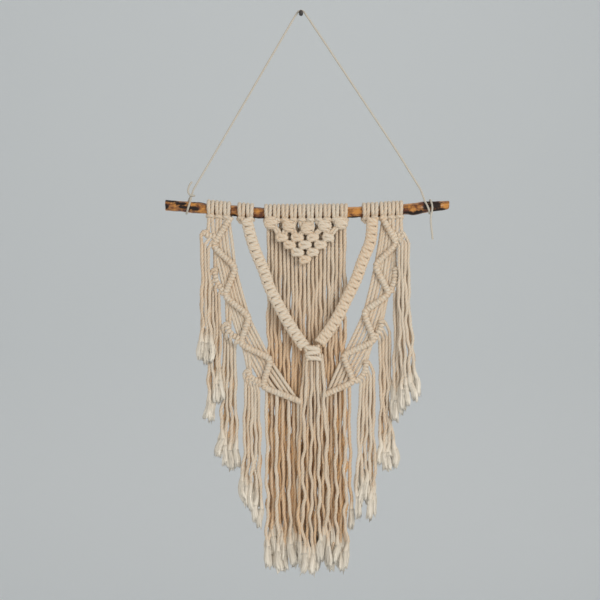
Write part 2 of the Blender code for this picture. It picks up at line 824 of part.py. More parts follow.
def main():
    """Build every piece of the hanging."""
    clear_scene()
    wood = material("lacquered_wood", (0.50, 0.25, 0.07), 0.35)
    cotton = material("natural_cotton", (0.80, 0.70, 0.56), 0.9)
    hanger_cotton = material("hanger_cotton", (0.78, 0.73, 0.66), 0.9)
    steel = material("nail_steel", (0.25, 0.24, 0.23), 0.45, metallic=1.0)

    make_branch(wood)
    make_nail(steel)
    for row in HEADINGS:
        make_heading(row, cotton)

    clearance = make_heading_clearance(cotton)
    make_net(cotton, clearance)
    make_band("band_left", LEFT_BAND, cotton, clearance)
    make_band("band_right", RIGHT_BAND, cotton, clearance)
    make_join(cotton)
    make_zigzag("zigzag_left", LEFT_TURNS, LEFT_COLUMNS, LEFT_FIELD_REACH, cotton, clearance)
    make_zigzag("zigzag_right", RIGHT_TURNS, RIGHT_COLUMNS, RIGHT_FIELD_REACH, cotton, clearance)

    tier_depths = (FRONT_FRINGE_Y, PANEL_Y, BACK_FRINGE_Y, PANEL_Y)
    sides = (("left", LEFT_TIERS, LEFT_COLUMNS, -1), ("right", RIGHT_TIERS, RIGHT_COLUMNS, 1))
    for side, tiers, columns, outward in sides:
        for i, (strands, column) in enumerate(zip(tiers, columns)):
            tops = column_tops(column, strands, outward)
            make_fringe(f"fringe_{side}_{i + 1}", strands, tops, tier_depths[i], cotton)

    tops = row_tops(LEFT_TURNS[-2], LEFT_TURNS[-1], LEFT_FOOT)
    make_fringe("fringe_foot_left", LEFT_FOOT, tops, PANEL_Y, cotton)
    tops = row_tops(RIGHT_TURNS[-2], RIGHT_TURNS[-1], RIGHT_FOOT)
    make_fringe("fringe_foot_right", RIGHT_FOOT, tops, PANEL_Y, cotton)
    tops = [BAND_FRINGE_TOP] * len(BAND_FRINGE)
    make_fringe("fringe_band", BAND_FRINGE, tops, FRONT_FRINGE_Y, cotton)
    strands, tops = centre_fringe()
    make_fringe("fringe_centre", strands, tops, CENTRE_FRINGE_Y, cotton)

    make_wrap("cord_wrap_left", LEFT_WRAP_X, hanger_cotton)
    make_wrap("cord_wrap_right", RIGHT_WRAP_X, hanger_cotton)
    make_cord("hanging_cord", HANGER_ROUTE, HANGER_SPACING, hanger_cotton)
    make_cord("cord_tail_left", LEFT_TAIL_ROUTE, TAIL_SPACING, hanger_cotton)
    make_cord("cord_tail_right", RIGHT_TAIL_ROUTE, TAIL_SPACING, hanger_cotton)


main()
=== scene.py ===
"""Looks of the macrame wall hanging: every cord laid and knotted as it hangs on its branch.

Tables are in millimetres, and MM turns them into metres. +Z is up, -Y is the front, and the
wall behind the hanging is the plane y = 0. Laid out as a Blender add-on and run as a script.
"""
from collections import namedtuple
from math import hypot, pi, radians, tau

import bpy
import numpy as np
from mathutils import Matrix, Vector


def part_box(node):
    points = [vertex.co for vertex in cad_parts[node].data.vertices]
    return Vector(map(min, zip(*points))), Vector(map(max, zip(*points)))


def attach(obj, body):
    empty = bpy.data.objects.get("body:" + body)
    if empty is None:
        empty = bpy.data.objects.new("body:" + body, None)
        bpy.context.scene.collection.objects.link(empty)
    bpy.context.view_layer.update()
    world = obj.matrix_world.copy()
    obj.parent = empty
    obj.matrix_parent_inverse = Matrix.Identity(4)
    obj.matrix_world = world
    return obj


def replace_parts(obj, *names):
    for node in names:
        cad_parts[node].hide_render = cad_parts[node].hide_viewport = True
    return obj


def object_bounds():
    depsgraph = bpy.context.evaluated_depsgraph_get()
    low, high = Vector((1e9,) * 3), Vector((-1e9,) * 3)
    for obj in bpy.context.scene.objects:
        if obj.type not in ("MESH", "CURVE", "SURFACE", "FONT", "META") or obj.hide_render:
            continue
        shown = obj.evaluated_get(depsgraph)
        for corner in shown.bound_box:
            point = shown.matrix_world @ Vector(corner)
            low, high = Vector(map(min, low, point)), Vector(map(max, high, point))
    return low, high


bl_info = {
    "name": "Macrame wall hanging",
    "version": (1, 0, 0),
    "blender": (4, 5, 0),
    "location": "3D View > Sidebar > Macrame",
    "description": "Builds a knotted cotton wall hanging on its branch",
    "category": "Add Mesh",
}

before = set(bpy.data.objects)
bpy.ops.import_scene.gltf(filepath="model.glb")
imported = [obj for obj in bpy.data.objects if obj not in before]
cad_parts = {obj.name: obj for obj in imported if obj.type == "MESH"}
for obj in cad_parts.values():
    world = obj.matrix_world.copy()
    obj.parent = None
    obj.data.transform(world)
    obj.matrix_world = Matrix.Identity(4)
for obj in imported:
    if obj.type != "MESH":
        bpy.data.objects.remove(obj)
CAD_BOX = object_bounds()

MM = 0.001
FRONT = np.array((0.0, -1.0, 0.0))
DOWN = np.array((0.0, 0.0, -1.0))
RIGHT = np.array((1.0, 0.0, 0.0))

# Depth of each layer, as the y of its middle
BRANCH_Y = -13.5
PANEL_Y = -19.5
NET_Y = -20.0
BAND_Y = -27.6
FRONT_FRINGE_Y = -26.6
BACK_FRINGE_Y = -14.0
CENTRE_FRINGE_Y = -12.5

# Lark's heads
LARK_OFF = 0.4  # clear of the branch
LARK_DROP = 6.5
LARK_APART = 2.3  # from the knot's middle to each cord where they hang
LARK_THICK = 1.08

# How rough the cotton looks
COTTON_FUZZ = 0.9
FIBRE_STRETCH = 0.16

# How finely cords are modelled
PLIES = 3
CORD_SIDES = 12
WRAP_SIDES = 5
BACK_SIDES = 8
FIBRE_SIDES = 4
RING_STEP = 2.0
FRINGE_STEP = 3.0
CURVE_STEPS = 16

Point = namedtuple("Point", "x z")

# Knots
WRAP_PITCH = 4.5  # one wrap of a half-hitch row, along the row
WRAP_REACH = 3.0  # from the row's middle to a wrap's middle
WRAP_STEPS = 10
WRAP_WIDE = 3.9
WRAP_FLAT = 0.38
WRAP_SLANT = 1.3
RIDGE_Y = -22.0
FIELD_Y = -17.0
KNOT_STEPS = 28
BAND_PITCH = 11.4
BAND_HALF = 6.6
BAND_DEPTH = 3.5
EDGE_BUMP = 2.4
EDGE_RECESS = 0.4
CROSSING_LEVEL = 0.064  # how level the crossings lie
CROSSING_PAIR = 0.03  # how far the two crossings of a knot are drawn together
CROSSING_PRESS = 0.74
CROSSING_WIDE = 1.21
FIELD_CORDS = 5
FIELD_NEAR = 0.22  # where the first cord of a field joins its rows, as a share of their length
FIELD_FAR = 0.93  # and the last
# painted shade at the two ends of a field cord, where it goes under a row
FIELD_SHADE = 0.7
COLUMN_FIELD = (0.08, 0.26)  # the same for the two cords between a row and its column
COLUMN_BEND = Point(0.3, 0.6)  # where a column bends, as shares of its width and height
COLUMN_LEAN = 0.55  # how far a column's end goes on to its row's turn
COLUMN_PITCH = 4.9
COLUMN_REACH = 3.0
COLUMN_WIDE = 2.8
COLUMN_SLANT = 0.8
COLUMN_FLAT = 0.58
LEADER = 2.3  # radius of the cord that half hitches are tied over
TURN_ROUNDING = 12.0  # how far from a turn its rounding starts
TURN_CUT = 0.26
KNOT_SIDES = 9
EDGE_WIDE = 0.9  # in cord radii, as the two below
CORE_APART = 1.7
CORE_THICK = 0.85


def rows(kind, *values):
    """A table's rows, each made into its kind."""
    return [kind(*row) for row in values]


Lark = namedtuple("Lark", "x turn lift")
LARK_HALF = rows(
    Lark,
    (0.0, -46.0, 3.3), (2.8, -47.0, 3.0), (4.4, -64.0, 1.6), (4.6, -95.0, 0.2), (4.2, -140.0, 0.0),
    (3.6, -180.0, 0.0), (3.2, -225.0, 0.0), (2.95, -270.0, 0.0), (2.85, -315.0, 0.0), (2.75, -350.0, 0.0),
    (2.4, -380.0, -0.2), (2.15, -402.0, -0.6),
)

Heading = namedtuple("Heading", "node middles ends")
HEADINGS = [
    Heading("heading_left", (-126.5, -115.0, -104.0), "row_left"),
    Heading("heading_band_left", (-83.4, -71.8), "band"),
    Heading("heading_centre", tuple(-46.0 + 11.78 * i for i in range(10)), "berry"),
    Heading("heading_band_right", (91.4, 103.0), "band"),
    Heading("heading_right", (115.5, 126.5, 137.5), "row_right"),
]

LEFT_TURNS = rows(
    Point,
    (-99.5, -291.0), (-123.5, -329.0), (-91.0, -359.0), (-107.0, -399.0), (-72.0, -428.0), (-85.0, -466.0),
    (-42.0, -487.0), (-54.0, -526.0), (-2.0, -546.0),
)
RIGHT_TURNS = rows(
    Point,
    (113.5, -289.0), (134.5, -326.0), (103.0, -356.0), (124.0, -396.0), (87.5, -421.0), (103.0, -462.0),
    (58.5, -482.0), (74.0, -519.0), (33.6, -537.0),
)

Column = namedtuple("Column", "start end")
LEFT_COLUMNS = [
    Column(Point(-135.0, -311.0), Point(-120.0, -316.0)),
    Column(Point(-121.4, -362.0), Point(-111.5, -389.0)),
    Column(Point(-104.5, -438.5), Point(-88.0, -458.5)),
    Column(Point(-75.0, -504.0), Point(-58.5, -519.0)),
]
RIGHT_COLUMNS = [
    Column(Point(142.0, -315.0), Point(129.0, -313.0)),
    Column(Point(133.0, -361.0), Point(127.0, -388.0)),
    Column(Point(114.0, -435.0), Point(105.6, -453.0)),
    Column(Point(92.0, -491.5), Point(80.0, -516.5)),
]

LEFT_BAND = rows(
    Point,
    (-76.0, -290.5), (-71.4, -311.0), (-65.8, -330.0), (-59.5, -346.0), (-51.8, -364.0), (-44.3, -386.0),
    (-31.4, -411.6), (-16.8, -438.0), (0.5, -463.5), (5.0, -469.5),
)
RIGHT_BAND = rows(
    Point,
    (99.6, -290.5), (98.6, -311.0), (96.0, -326.0), (91.0, -338.0), (84.0, -355.6), (78.5, -372.0),
    (71.0, -388.5), (63.0, -404.6), (54.6, -422.0), (44.0, -440.0), (30.5, -458.5), (26.0, -464.5),
)
JOIN_TOP = Point(14.8, -468.0)
JOIN_FOOT = Point(18.2, -488.5)
JOIN_KNOTS = 1.5
JOIN_HALF = 9.8
JOIN_DEPTH = 3.2
JOIN_CORES = 4

BERRIES = rows(
    Point,
    (-42.3, -296.0), (-16.8, -300.6), (9.2, -304.0), (33.0, -300.2), (56.0, -296.4),
)
Ball = namedtuple("Ball", "knots arc round half lift cores level wide")
BERRY = Ball(3, radians(86), 5.2, 8.4, 3.0, 4, 0.02, 1.0)
NET_KNOT = Ball(1, radians(56), 5.2, 7.6, 1.6, 2, 0.035, 1.25)
BALL_STEPS = 15
BALL_TILT = 0.09
BALL_RISE = 3.0
NET_THICK = 0.98
NET_PAIR = 4.4  # between the two cords that join one knot to the next
NET_CENTRE_X = 5.6
NET_TOP_Z = -317.2
NET_PITCH_X = 21.6
NET_PITCH_Z = 10.3
NET_TOP_KNOTS = 4

Strand = namedtuple("Strand", "x_top x_mid x_end z_end")
LEFT_TIERS = [
    rows(
        Strand,
        (-138.6, -137.6, -140.0, -486.0), (-134.0, -132.6, -133.0, -491.0), (-129.4, -127.6, -125.5, -489.0),
    ),
    rows(
        Strand,
        (-128.4, -128.2, -129.5, -568.0), (-123.6, -123.0, -123.5, -571.0), (-119.0, -118.2, -118.4, -545.0),
        (-114.6, -113.2, -113.6, -542.0),
    ),
    rows(
        Strand,
        (-107.0, -109.5, -113.0, -622.0), (-102.3, -104.0, -106.0, -634.0), (-97.6, -98.0, -98.0, -641.0),
        (-92.9, -91.5, -89.0, -636.0),
    ),
    rows(
        Strand,
        (-77.5, -79.5, -83.5, -684.0), (-73.0, -74.0, -77.0, -690.0), (-68.5, -68.8, -70.0, -698.0),
        (-64.0, -63.4, -62.5, -714.0), (-59.4, -58.0, -56.5, -720.0),
    ),
]
RIGHT_TIERS = [
    rows(
        Strand,
        (136.6, 138.0, 143.0, -556.0), (141.3, 142.8, 149.0, -550.0), (146.0, 147.6, 156.0, -543.0),
        (150.6, 152.4, 164.5, -537.0),
    ),
    rows(
        Strand,
        (130.8, 131.0, 127.5, -566.0), (135.4, 135.8, 132.8, -571.0), (140.0, 140.6, 138.6, -560.0),
    ),
    rows(
        Strand,
        (110.6, 112.0, 110.0, -632.0), (115.2, 117.0, 117.4, -641.0), (119.8, 121.8, 124.4, -640.0),
        (124.4, 126.8, 131.5, -636.0),
    ),
    rows(
        Strand,
        (83.4, 80.0, 78.0, -706.0), (88.0, 85.4, 84.0, -688.0), (92.6, 91.0, 90.6, -682.0),
        (97.2, 97.0, 97.2, -709.0), (101.8, 102.4, 103.6, -702.0),
    ),
]
TIER_FIRST = 0.12  # where the first cord leaves its column, and how far on the last does
TIER_SPAN = 0.8
TIER_DROP = 12.0
SIDE_BACK = 4.5
LEFT_FOOT = rows(
    Strand,
    (-48.5, -47.5, -46.5, -776.0), (-41.0, -40.5, -38.5, -762.0), (-33.5, -34.0, -30.5, -782.0),
    (-25.5, -25.0, -20.0, -781.0), (-17.0, -16.5, -13.5, -772.0), (-9.6, -9.4, -6.5, -768.0),
    (-3.4, -3.0, 1.0, -777.0),
)
RIGHT_FOOT = rows(
    Strand,
    (36.6, 37.0, 39.0, -776.0), (42.4, 43.0, 45.0, -782.0), (48.4, 49.0, 51.0, -770.0),
    (54.8, 55.4, 57.0, -782.0), (61.4, 62.0, 63.6, -779.0), (67.8, 68.6, 71.0, -724.0),
)
BAND_FRINGE = rows(
    Strand,
    (6.0, -2.0, -0.5, -768.0), (8.8, 3.4, 5.0, -783.0), (11.8, 8.8, 10.4, -776.0), (15.0, 14.2, 15.6, -784.0),
    (19.0, 19.6, 20.8, -781.0), (22.6, 25.0, 26.0, -766.0), (25.8, 30.4, 31.4, -758.0),
    (29.0, 35.8, 37.0, -774.0),
)
BAND_FRINGE_TOP = -480.0
CENTRE_FRINGE_COUNT = 20
CENTRE_FRINGE_X = (-46.0, 61.5)
CENTRE_FRINGE_ENDS = (-762.0, -748.0, -776.0, -755.0, -768.0)
CENTRE_FRINGE_PEAK = -350.0
CENTRE_FRINGE_SLOPE = 0.9
CENTRE_FRINGE_SHOULDER = -304.0
CENTRE_FRINGE_HIDDEN = -292.0  # where its cords start behind the berries
CENTRE_BACK_TOP = -300.0
CENTRE_BACK = 5.5

# Painted shade on fringe cords, a warm darkening that grows lower down: its amount above z_high, below z_low
# and even between them
Tint = namedtuple("Tint", "high low z_high z_low")
SIDE_BACK_PAINTED_SHADE = Tint(0.5, 0.65, -400.0, -560.0)
FOOT_PAINTED_SHADE = Tint(0.05, 0.15, -560.0, -700.0)
FOOT_BACK_PAINTED_SHADE = Tint(0.3, 0.6, -540.0, -680.0)
CENTRE_PAINTED_SHADE = Tint(0.15, 0.85, -400.0, -560.0)
CENTRE_BACK_PAINTED_SHADE = Tint(0.35, 0.75, -380.0, -560.0)

# How a fringe cord hangs and frays
KINK_LONG = 74.0
KINK_SHORT = 31.0
KINK_EASE = 45.0  # a cord leaves its knot straight and is kinked from here on
KINK_TOP = 0.35  # share of the full kink at the top
KINK_GAIN = 0.9
BULGE = 0.06
BULGE_LONG = 9.0
BACK_DROP = 3.0
BACK_SHORTER = (4.0, 26.0)  # how much shorter the cords behind are
BRUSH_SIDES = 28
BRUSH_RINGS = 9
FIBRES = 28
FIBRE_RADIUS = 0.4
FRAY_NECK = 0.9
GOLDEN_TURN = 0.381966  # spreads the loose fibres evenly round the end
FRAY_SPREAD = 1.95  # width of a frayed end, in cord widths

# Hanging cord, from its left free end over the nail to its right free end
HANGER_STEP = 1.6
HANGER_LAY = 9.0
HANGER_GROOVE = 0.16
HANGER_OFF = 0.3  # clear of the branch
HANGER_FUZZ = 0.7
Route = namedtuple("Route", "x y z")
HANGER_LEFT_KNOT = rows(
    Route,
    (-153.0, -16.4, -239.0), (-156.4, -16.8, -243.5), (-158.4, -16.2, -250.0), (-157.6, -16.9, -255.0),
    (-155.1, -18.7, -257.4), (-151.9, -18.2, -258.4), (-149.9, -15.7, -258.4), (-150.4, -12.5, -258.0),
    (-152.9, -10.5, -258.0), (-156.6, -9.0, -260.8),
)
HANGER_RUN = rows(
    Route,
    (-154.3, -17.2, -261.6), (-153.0, -14.6, -256.4), (-151.0, -13.2, -249.4), (-147.0, -13.1, -242.5),
    (-139.9, -12.7, -230.4), (-118.6, -11.8, -194.1), (-80.0, -9.8, -127.6), (-40.0, -7.8, -58.7),
    (-24.6, -7.0, -32.1), (-16.5, -6.6, -18.3), (-10.5, -6.3, -7.9), (-6.6, -6.1, -1.7), (-5.0, -6.0, 0.8),
    (-4.1, -6.0, 1.9), (-3.0, -6.0, 2.7), (-1.6, -6.0, 3.3), (0.0, -6.0, 3.5), (1.6, -6.0, 3.3),
    (3.0, -6.0, 2.7), (4.1, -6.0, 1.9), (5.0, -6.0, 0.8), (6.7, -6.1, -1.9), (11.0, -6.3, -8.3),
    (17.6, -6.6, -18.3), (26.5, -7.0, -31.6), (45.0, -7.8, -59.5), (90.0, -9.8, -127.6),
    (133.5, -11.8, -193.6),
    (157.5, -12.8, -232.3), (164.2, -13.1, -243.0), (168.5, -13.6, -250.6),
)
HANGER_RIGHT_TAIL = rows(
    Route,
    (181.8, -21.6, -286.8), (181.6, -20.4, -293.0), (182.4, -19.2, -301.0), (183.4, -19.0, -310.0),
    (184.4, -19.0, -319.5),
)
# The cord's way round the branch: x and degrees round it, with how far it is lifted off
Hitch = namedtuple("Hitch", "x turn lift")
LEFT_HITCH = rows(
    Hitch,
    (-160.8, 180.0, 0.0), (-161.0, 225.0, 0.0), (-160.8, 270.0, 0.0), (-159.6, 310.0, 0.0),
    (-157.2, 360.0, 0.3), (-155.0, 405.0, 1.2),
)
RIGHT_HITCH = rows(
    Hitch,
    (173.4, 58.0, 0.6), (176.2, 15.0, 0.2), (179.0, -30.0, 0.0), (180.4, -75.0, 0.0), (180.8, -120.0, 0.0),
    (181.0, -165.0, 0.0), (181.0, -210.0, 0.0), (181.2, -255.0, 0.2), (181.8, -300.0, 0.4),
    (183.2, -345.0, 0.6), (183.6, -385.0, 1.6),
)

# Nail
NAIL_RADIUS = 1.6
NAIL_ROUNDING = 0.15
NAIL_HEAD_DEEP = 1.5
NAIL_HEAD = ((0.05, 1.85), (0.9, 1.0), (0.5, 0.7))  # rise and widening of each step of the head

# Branch
BRANCH_SIDES = 28
BRANCH_STEP = 4.0
END_BEVEL = 1.2
END_FACING = 0.93  # how squarely a face looks along the branch to be its sawn end
LUMPS = (("lumps", 0.022, 1.0), ("chips", 0.006, 0.45))  # size and strength of each unevenness
GRAIN_SCALE = (28.0, 260.0, 260.0)
BARK_SCALE = (1.0, 1.6, 1.6)

# Bark left on the branch: x, degrees round it (0 front, 90 top), half length and half turn
Bark = namedtuple("Bark", "x turn long wide")
BARK = rows(
    Bark,
    (-183.0, 62.0, 11.0, 26.0), (-169.0, 30.0, 9.0, 24.0), (-189.0, -20.0, 4.5, 30.0),
    (-164.0, -10.0, 8.0, 16.0), (-151.0, -12.0, 9.0, 24.0), (-143.0, 75.0, 12.0, 16.0),
    (-94.0, -60.0, 6.0, 26.0), (-60.0, -74.0, 9.0, 18.0), (76.0, -72.0, 10.0, 20.0),
    (150.0, -34.0, 8.0, 13.0),
    (162.0, -48.0, 13.0, 24.0), (188.0, 16.0, 10.0, 48.0), (176.0, 0.0, 6.0, 42.0),
    (193.0, -60.0, 14.0, 28.0),
    (180.0, 62.0, 8.0, 26.0), (-20.0, 180.0, 60.0, 30.0), (120.0, 200.0, 40.0, 24.0),
    (-140.0, 190.0, 22.0, 30.0),
)

# Stage, in metres apart from the camera's aim
FLOOR_SIZE = 90.0
FLOOR_PLACE = (0.0, -41.5, -1.5)
BACKDROP_HIGH = 9.0
SWEEP = 0.9
AIM = Point(-1.4, -404.6)


# ---------------------------------------------------------------- settings
def number_setting(name, description, default, **kind):
    """A setting that is one number."""
    return bpy.props.FloatProperty(name=name, description=description, default=default, **kind)


def length_setting(name, description, default):
    """A setting that is a length in metres."""
    return number_setting(name, description, default, unit="LENGTH")


def colour_setting(name, description, default):
    """A setting that is a colour."""
    return bpy.props.FloatVectorProperty(name=name, description=description, default=default, subtype="COLOR")


class CordSettings(bpy.types.PropertyGroup):
    """Sizes and colours of the cotton cord."""

    diameter: length_setting("Cord diameter", "Thickness of the knotted cord", 0.0053)
    lay: length_setting("Lay length", "Length of cord for one turn of its plies", 0.017)
    groove: number_setting(
        "Ply groove", "Depth of the groove between plies, as a share of the radius", 0.07, subtype="FACTOR"
    )
    hanger_diameter: length_setting("Hanging cord diameter", "Thickness of the cord over the nail", 0.003)
    sway: length_setting("Kink", "How far a fringe cord strays from its line", 0.0017)
    fray: length_setting("Frayed end", "Length of the combed-out end of a cord", 0.040)
    colour: colour_setting("Cotton", "Colour of the natural cotton", (0.76, 0.68, 0.57))
    # Painted shade colour: mixed in between the plies and on cords that hang behind or under others
    painted_shade_colour: colour_setting("Cotton in grooves", "Colour between the plies", (0.72, 0.41, 0.165))
    combed_colour: colour_setting("Combed cotton", "Colour of the frayed ends", (0.93, 0.87, 0.77))
    # The hanging cord's own grey-green colour, darkened further with painted shade
    hanger_colour_and_shade: colour_setting("Hanging cord", "Colour of the cord over the nail", (0.60, 0.58, 0.52))


class WoodSettings(bpy.types.PropertyGroup):
    """Colours and finish of the branch and the nail."""

    gold: colour_setting("Pale wood", "Lightest colour of the peeled wood", (0.62, 0.27, 0.055))
    amber: colour_setting("Deep wood", "Deepest colour of the peeled wood", (0.11, 0.024, 0.004))
    bark: colour_setting("Bark", "Colour of the bark left on the branch", (0.016, 0.006, 0.003))
    gloss: number_setting("Lacquer", "Weight of the clear lacquer", 0.6, subtype="FACTOR")
    unevenness: length_setting("Unevenness", "Height of the lumps in the branch", 0.0011)
    steel: colour_setting("Nail", "Colour of the nail", (0.13, 0.12, 0.115))


class StageSettings(bpy.types.PropertyGroup):
    """Camera, floor and lights."""

    lens: number_setting("Lens", "Focal length in millimetres", 85.0)
    frame_width: length_setting("Width seen", "Width that the camera sees at the hanging", 0.84)
    floor: colour_setting("Floor", "Colour of the floor and backdrop", (0.82, 0.85, 0.87))
    air: colour_setting("Air", "Colour of the light from all round", (0.95, 0.96, 0.95))
    air_strength: number_setting("Air light", "Strength of that light", 0.47)
    lamp: colour_setting("Lamps", "Colour of the window and fill lights", (1.0, 0.94, 0.86))
    key: number_setting("Key light", "Power of the window light", 25.0, unit="POWER")
    wash: number_setting("Backdrop light", "Power of the light on the backdrop", 12.0, unit="POWER")
    fill: number_setting("Fill light", "Power of the fill light", 12.0, unit="POWER")


# ---------------------------------------------------------------- shader building
class Wire:
    """A number socket that adds Math nodes as it is used in an expression."""

    def __init__(self, surface, socket):
        self.surface = surface
        self.socket = socket

    def math(self, operation, *others):
        node = self.surface.node("ShaderNodeMath", {"operation": operation}, dict(enumerate((self, *others))))
        return Wire(self.surface, node.outputs[0])

    def __add__(self, other):
        return self.math("ADD", other)

    def __sub__(self, other):
        return self.math("SUBTRACT", other)

    def __mul__(self, other):
        return self.math("MULTIPLY", other)

    def __pow__(self, other):
        return self.math("POWER", other)

    def sine(self):
        return self.math("SINE")

    def cosine(self):
        return self.math("COSINE")

    def clamped(self):
        node = self.surface.node("ShaderNodeClamp", {}, {"Value": self})
        return Wire(self.surface, node.outputs[0])


class Surface:
    """A material whose nodes are added one call at a time."""

    def __init__(self, name):
        self.material = bpy.data.materials.new(name)
        self.material.use_nodes = True
        self.tree = self.material.node_tree
        self.shader = self.tree.nodes["Principled BSDF"]

    def node(self, kind, settings=None, inputs=None):
        """Add a node: its settings first, then the values or links of its sockets."""
        made = self.tree.nodes.new(kind)
        for key, value in (settings or {}).items():
            if key == "stops":
                ramp = made.color_ramp.elements
                while len(ramp) < len(value):
                    ramp.new(1.0)
                for element, (place, colour) in zip(ramp, value):
                    element.position = place
                    element.color = (*colour, 1.0)
            else:
                setattr(made, key, value)
        for key, value in (inputs or {}).items():
            self.feed(made.inputs[key], value)
        return made

    def feed(self, socket, value):
        """Set a socket to a value, or link it to a wire or another socket."""
        if isinstance(value, Wire):
            value = value.socket
        if isinstance(value, bpy.types.NodeSocket):
            self.tree.links.new(value, socket)
        elif hasattr(socket.default_value, "__len__") and len(socket.default_value) == 4 and len(value) == 3:
            socket.default_value = (*value, 1.0)
        else:
            socket.default_value = value

    def wire(self, socket):
        return Wire(self, socket)

    def mix(self, share, low, high):
        """A colour part of the way from low to high."""
        inputs = {0: share, 6: low, 7: high}
        return self.node("ShaderNodeMix", {"data_type": "RGBA"}, inputs).outputs[2]

    def noise(self, where, scale, detail=2.0, roughness=0.5):
        inputs = {"Vector": where, "Scale": scale, "Detail": detail, "Roughness": roughness}
        return self.wire(self.node("ShaderNodeTexNoise", {}, inputs).outputs[0])

    def scaled(self, where, scale):
        """Coordinates scaled along each axis."""
        return self.node("ShaderNodeMapping", {}, {"Vector": where, "Scale": scale}).outputs[0]

    def bump(self, height, strength, distance):
        inputs = {"Strength": strength, "Distance": distance, "Height": height}
        return self.node("ShaderNodeBump", {}, inputs).outputs[0]

    def principled(self, **inputs):
        for key, value in inputs.items():
            self.feed(self.shader.inputs[key.replace("_", " ")], value)
        return self.material


def cotton_cord(name, colour, combed_colour, cord, lay, radius, fuzz):
    """Twisted cotton: fibres along the cord, grooves between the plies and a soft warm painted shade, darkest
    in the grooves and on cords in shade.
    """
    cloth = Surface(name)
    along_map = cloth.node("ShaderNodeUVMap", {"uv_map": "lay"}).outputs[0]
    parts = cloth.node("ShaderNodeSeparateXYZ", {}, {0: along_map}).outputs
    around = cloth.wire(parts[0])
    along = cloth.wire(parts[1])
    turn = (around + along * (1.0 / lay)) * tau
    corners = {0: turn.cosine() * radius, 1: turn.sine() * radius, 2: along * FIBRE_STRETCH}
    fibre = cloth.noise(cloth.node("ShaderNodeCombineXYZ", {}, corners).outputs[0], 1.9, 3.0, 0.6)
    valley = (around * (tau * PLIES)).cosine() * -0.5 + 0.5
    shade = cloth.wire(cloth.node("ShaderNodeAttribute", {"attribute_name": "shade"}).outputs[2])
    where = cloth.node("ShaderNodeTexCoord").outputs["Object"]
    drift = cloth.noise(where, 9.0, 2.0)
    # Painted shade: the grooves between the plies and each cord's shade value darken the cotton towards the
    # shade colour; fibre and drift vary its tone at random, and a negative shade pales it to the combed
    # colour.
    depth = (valley ** 3.0) * 0.3 + (fibre * -0.5 + 0.22) + shade * 0.75 + (drift * 0.3 - 0.15)
    tint = cloth.mix(depth.clamped(), tuple(colour), tuple(cord.painted_shade_colour))
    tint = cloth.mix((shade * -3.0).clamped(), tint, tuple(combed_colour))
    height = fibre * fuzz - valley * 0.3
    normal = cloth.bump(height, 0.5, 0.0006)
    return cloth.principled(Base_Color=tint, Roughness=0.9, Sheen_Weight=0.35, Sheen_Roughness=0.5,
                            Sheen_Tint=(1.0, 0.93, 0.82), Specular_IOR_Level=0.2, Normal=normal)


def lacquered_wood(name, wood):
    """Golden peeled wood under lacquer, with dark bark in patches."""
    timber = Surface(name)
    where = timber.node("ShaderNodeTexCoord").outputs["Object"]
    grain = timber.noise(timber.scaled(where, GRAIN_SCALE), 1.0, 5.0, 0.62)
    cloud = timber.noise(where, 95.0, 4.0, 0.6)
    bark = timber.wire(timber.node("ShaderNodeAttribute", {"attribute_name": "bark"}).outputs[2])
    ragged = timber.noise(timber.scaled(where, BARK_SCALE), 210.0, 4.0, 0.6)
    mask = ((bark + ragged * 1.6 - 1.3) * 4.0).clamped()
    tone = (grain * 2.0 + cloud * 4.6 - 2.75).clamped()
    peeled = timber.mix(tone, wood.gold, wood.amber)
    tint = timber.mix(mask, peeled, wood.bark)
    height = grain * 0.35 + mask * 0.9 + cloud * 0.3
    normal = timber.bump(height, 0.5, 0.0012)
    roughness = mask * 0.3 + 0.3
    lacquer = mask * -wood.gloss + wood.gloss
    return timber.principled(Base_Color=tint, Roughness=roughness, Coat_Weight=lacquer, Coat_Roughness=0.15,
                             Specular_IOR_Level=0.35, Normal=normal)


def end_grain(name, wood):
    """The branch's sawn ends: rings round the pith."""
    timber = Surface(name)
    where = timber.node("ShaderNodeTexCoord").outputs["Object"]
    middle = timber.node("ShaderNodeMapping", {}, {"Vector": where, "Location": (0.0, 13.5 * MM, 272.0 * MM)})
    parts = timber.node("ShaderNodeSeparateXYZ", {}, {0: middle.outputs[0]}).outputs
    away = (timber.wire(parts[1]) ** 2.0 + timber.wire(parts[2]) ** 2.0) ** 0.5
    rings = (away * 5200.0).sine() * 0.5 + 0.5
    tint = timber.mix(rings * 0.5, wood.gold, wood.amber)
    return timber.principled(Base_Color=tint, Roughness=0.7)


def dull_steel(name, wood):
    """Nail steel with a faint drawn grain."""
    metal = Surface(name)
    where = metal.node("ShaderNodeTexCoord").outputs["Object"]
    grain = metal.noise(where, 900.0, 3.0)
    return metal.principled(Base_Color=metal.mix(grain, wood.steel, (0.06, 0.05, 0.05)), Metallic=1.0,
                            Roughness=grain * 0.3 + 0.35)


def plain_floor(name, colour):
    """Matte pale floor and backdrop."""
    paint = Surface(name)
    where = paint.node("ShaderNodeTexCoord").outputs["Object"]
    drift = paint.noise(where, 0.6, 2.0)
    darker = tuple(0.97 * part for part in colour)
    return paint.principled(Base_Color=paint.mix(drift, colour, darker), Roughness=0.95)


# ---------------------------------------------------------------- lines
def unit(vectors):
    """Vectors made one long."""
    return vectors / np.maximum(np.linalg.norm(vectors, axis=-1, keepdims=True), 1e-9)


def lengths(line):
    """Length of a line up to each of its points."""
    return np.concatenate([[0.0], np.cumsum(np.linalg.norm(np.diff(line, axis=0), axis=1))])


def evenly(line, step):
    """The line again, with points about a step apart."""
    along = lengths(line)
    at = np.linspace(0.0, along[-1], max(2, int(round(along[-1] / step)) + 1))
    return np.stack([np.interp(at, along, line[:, k]) for k in range(3)], axis=1)


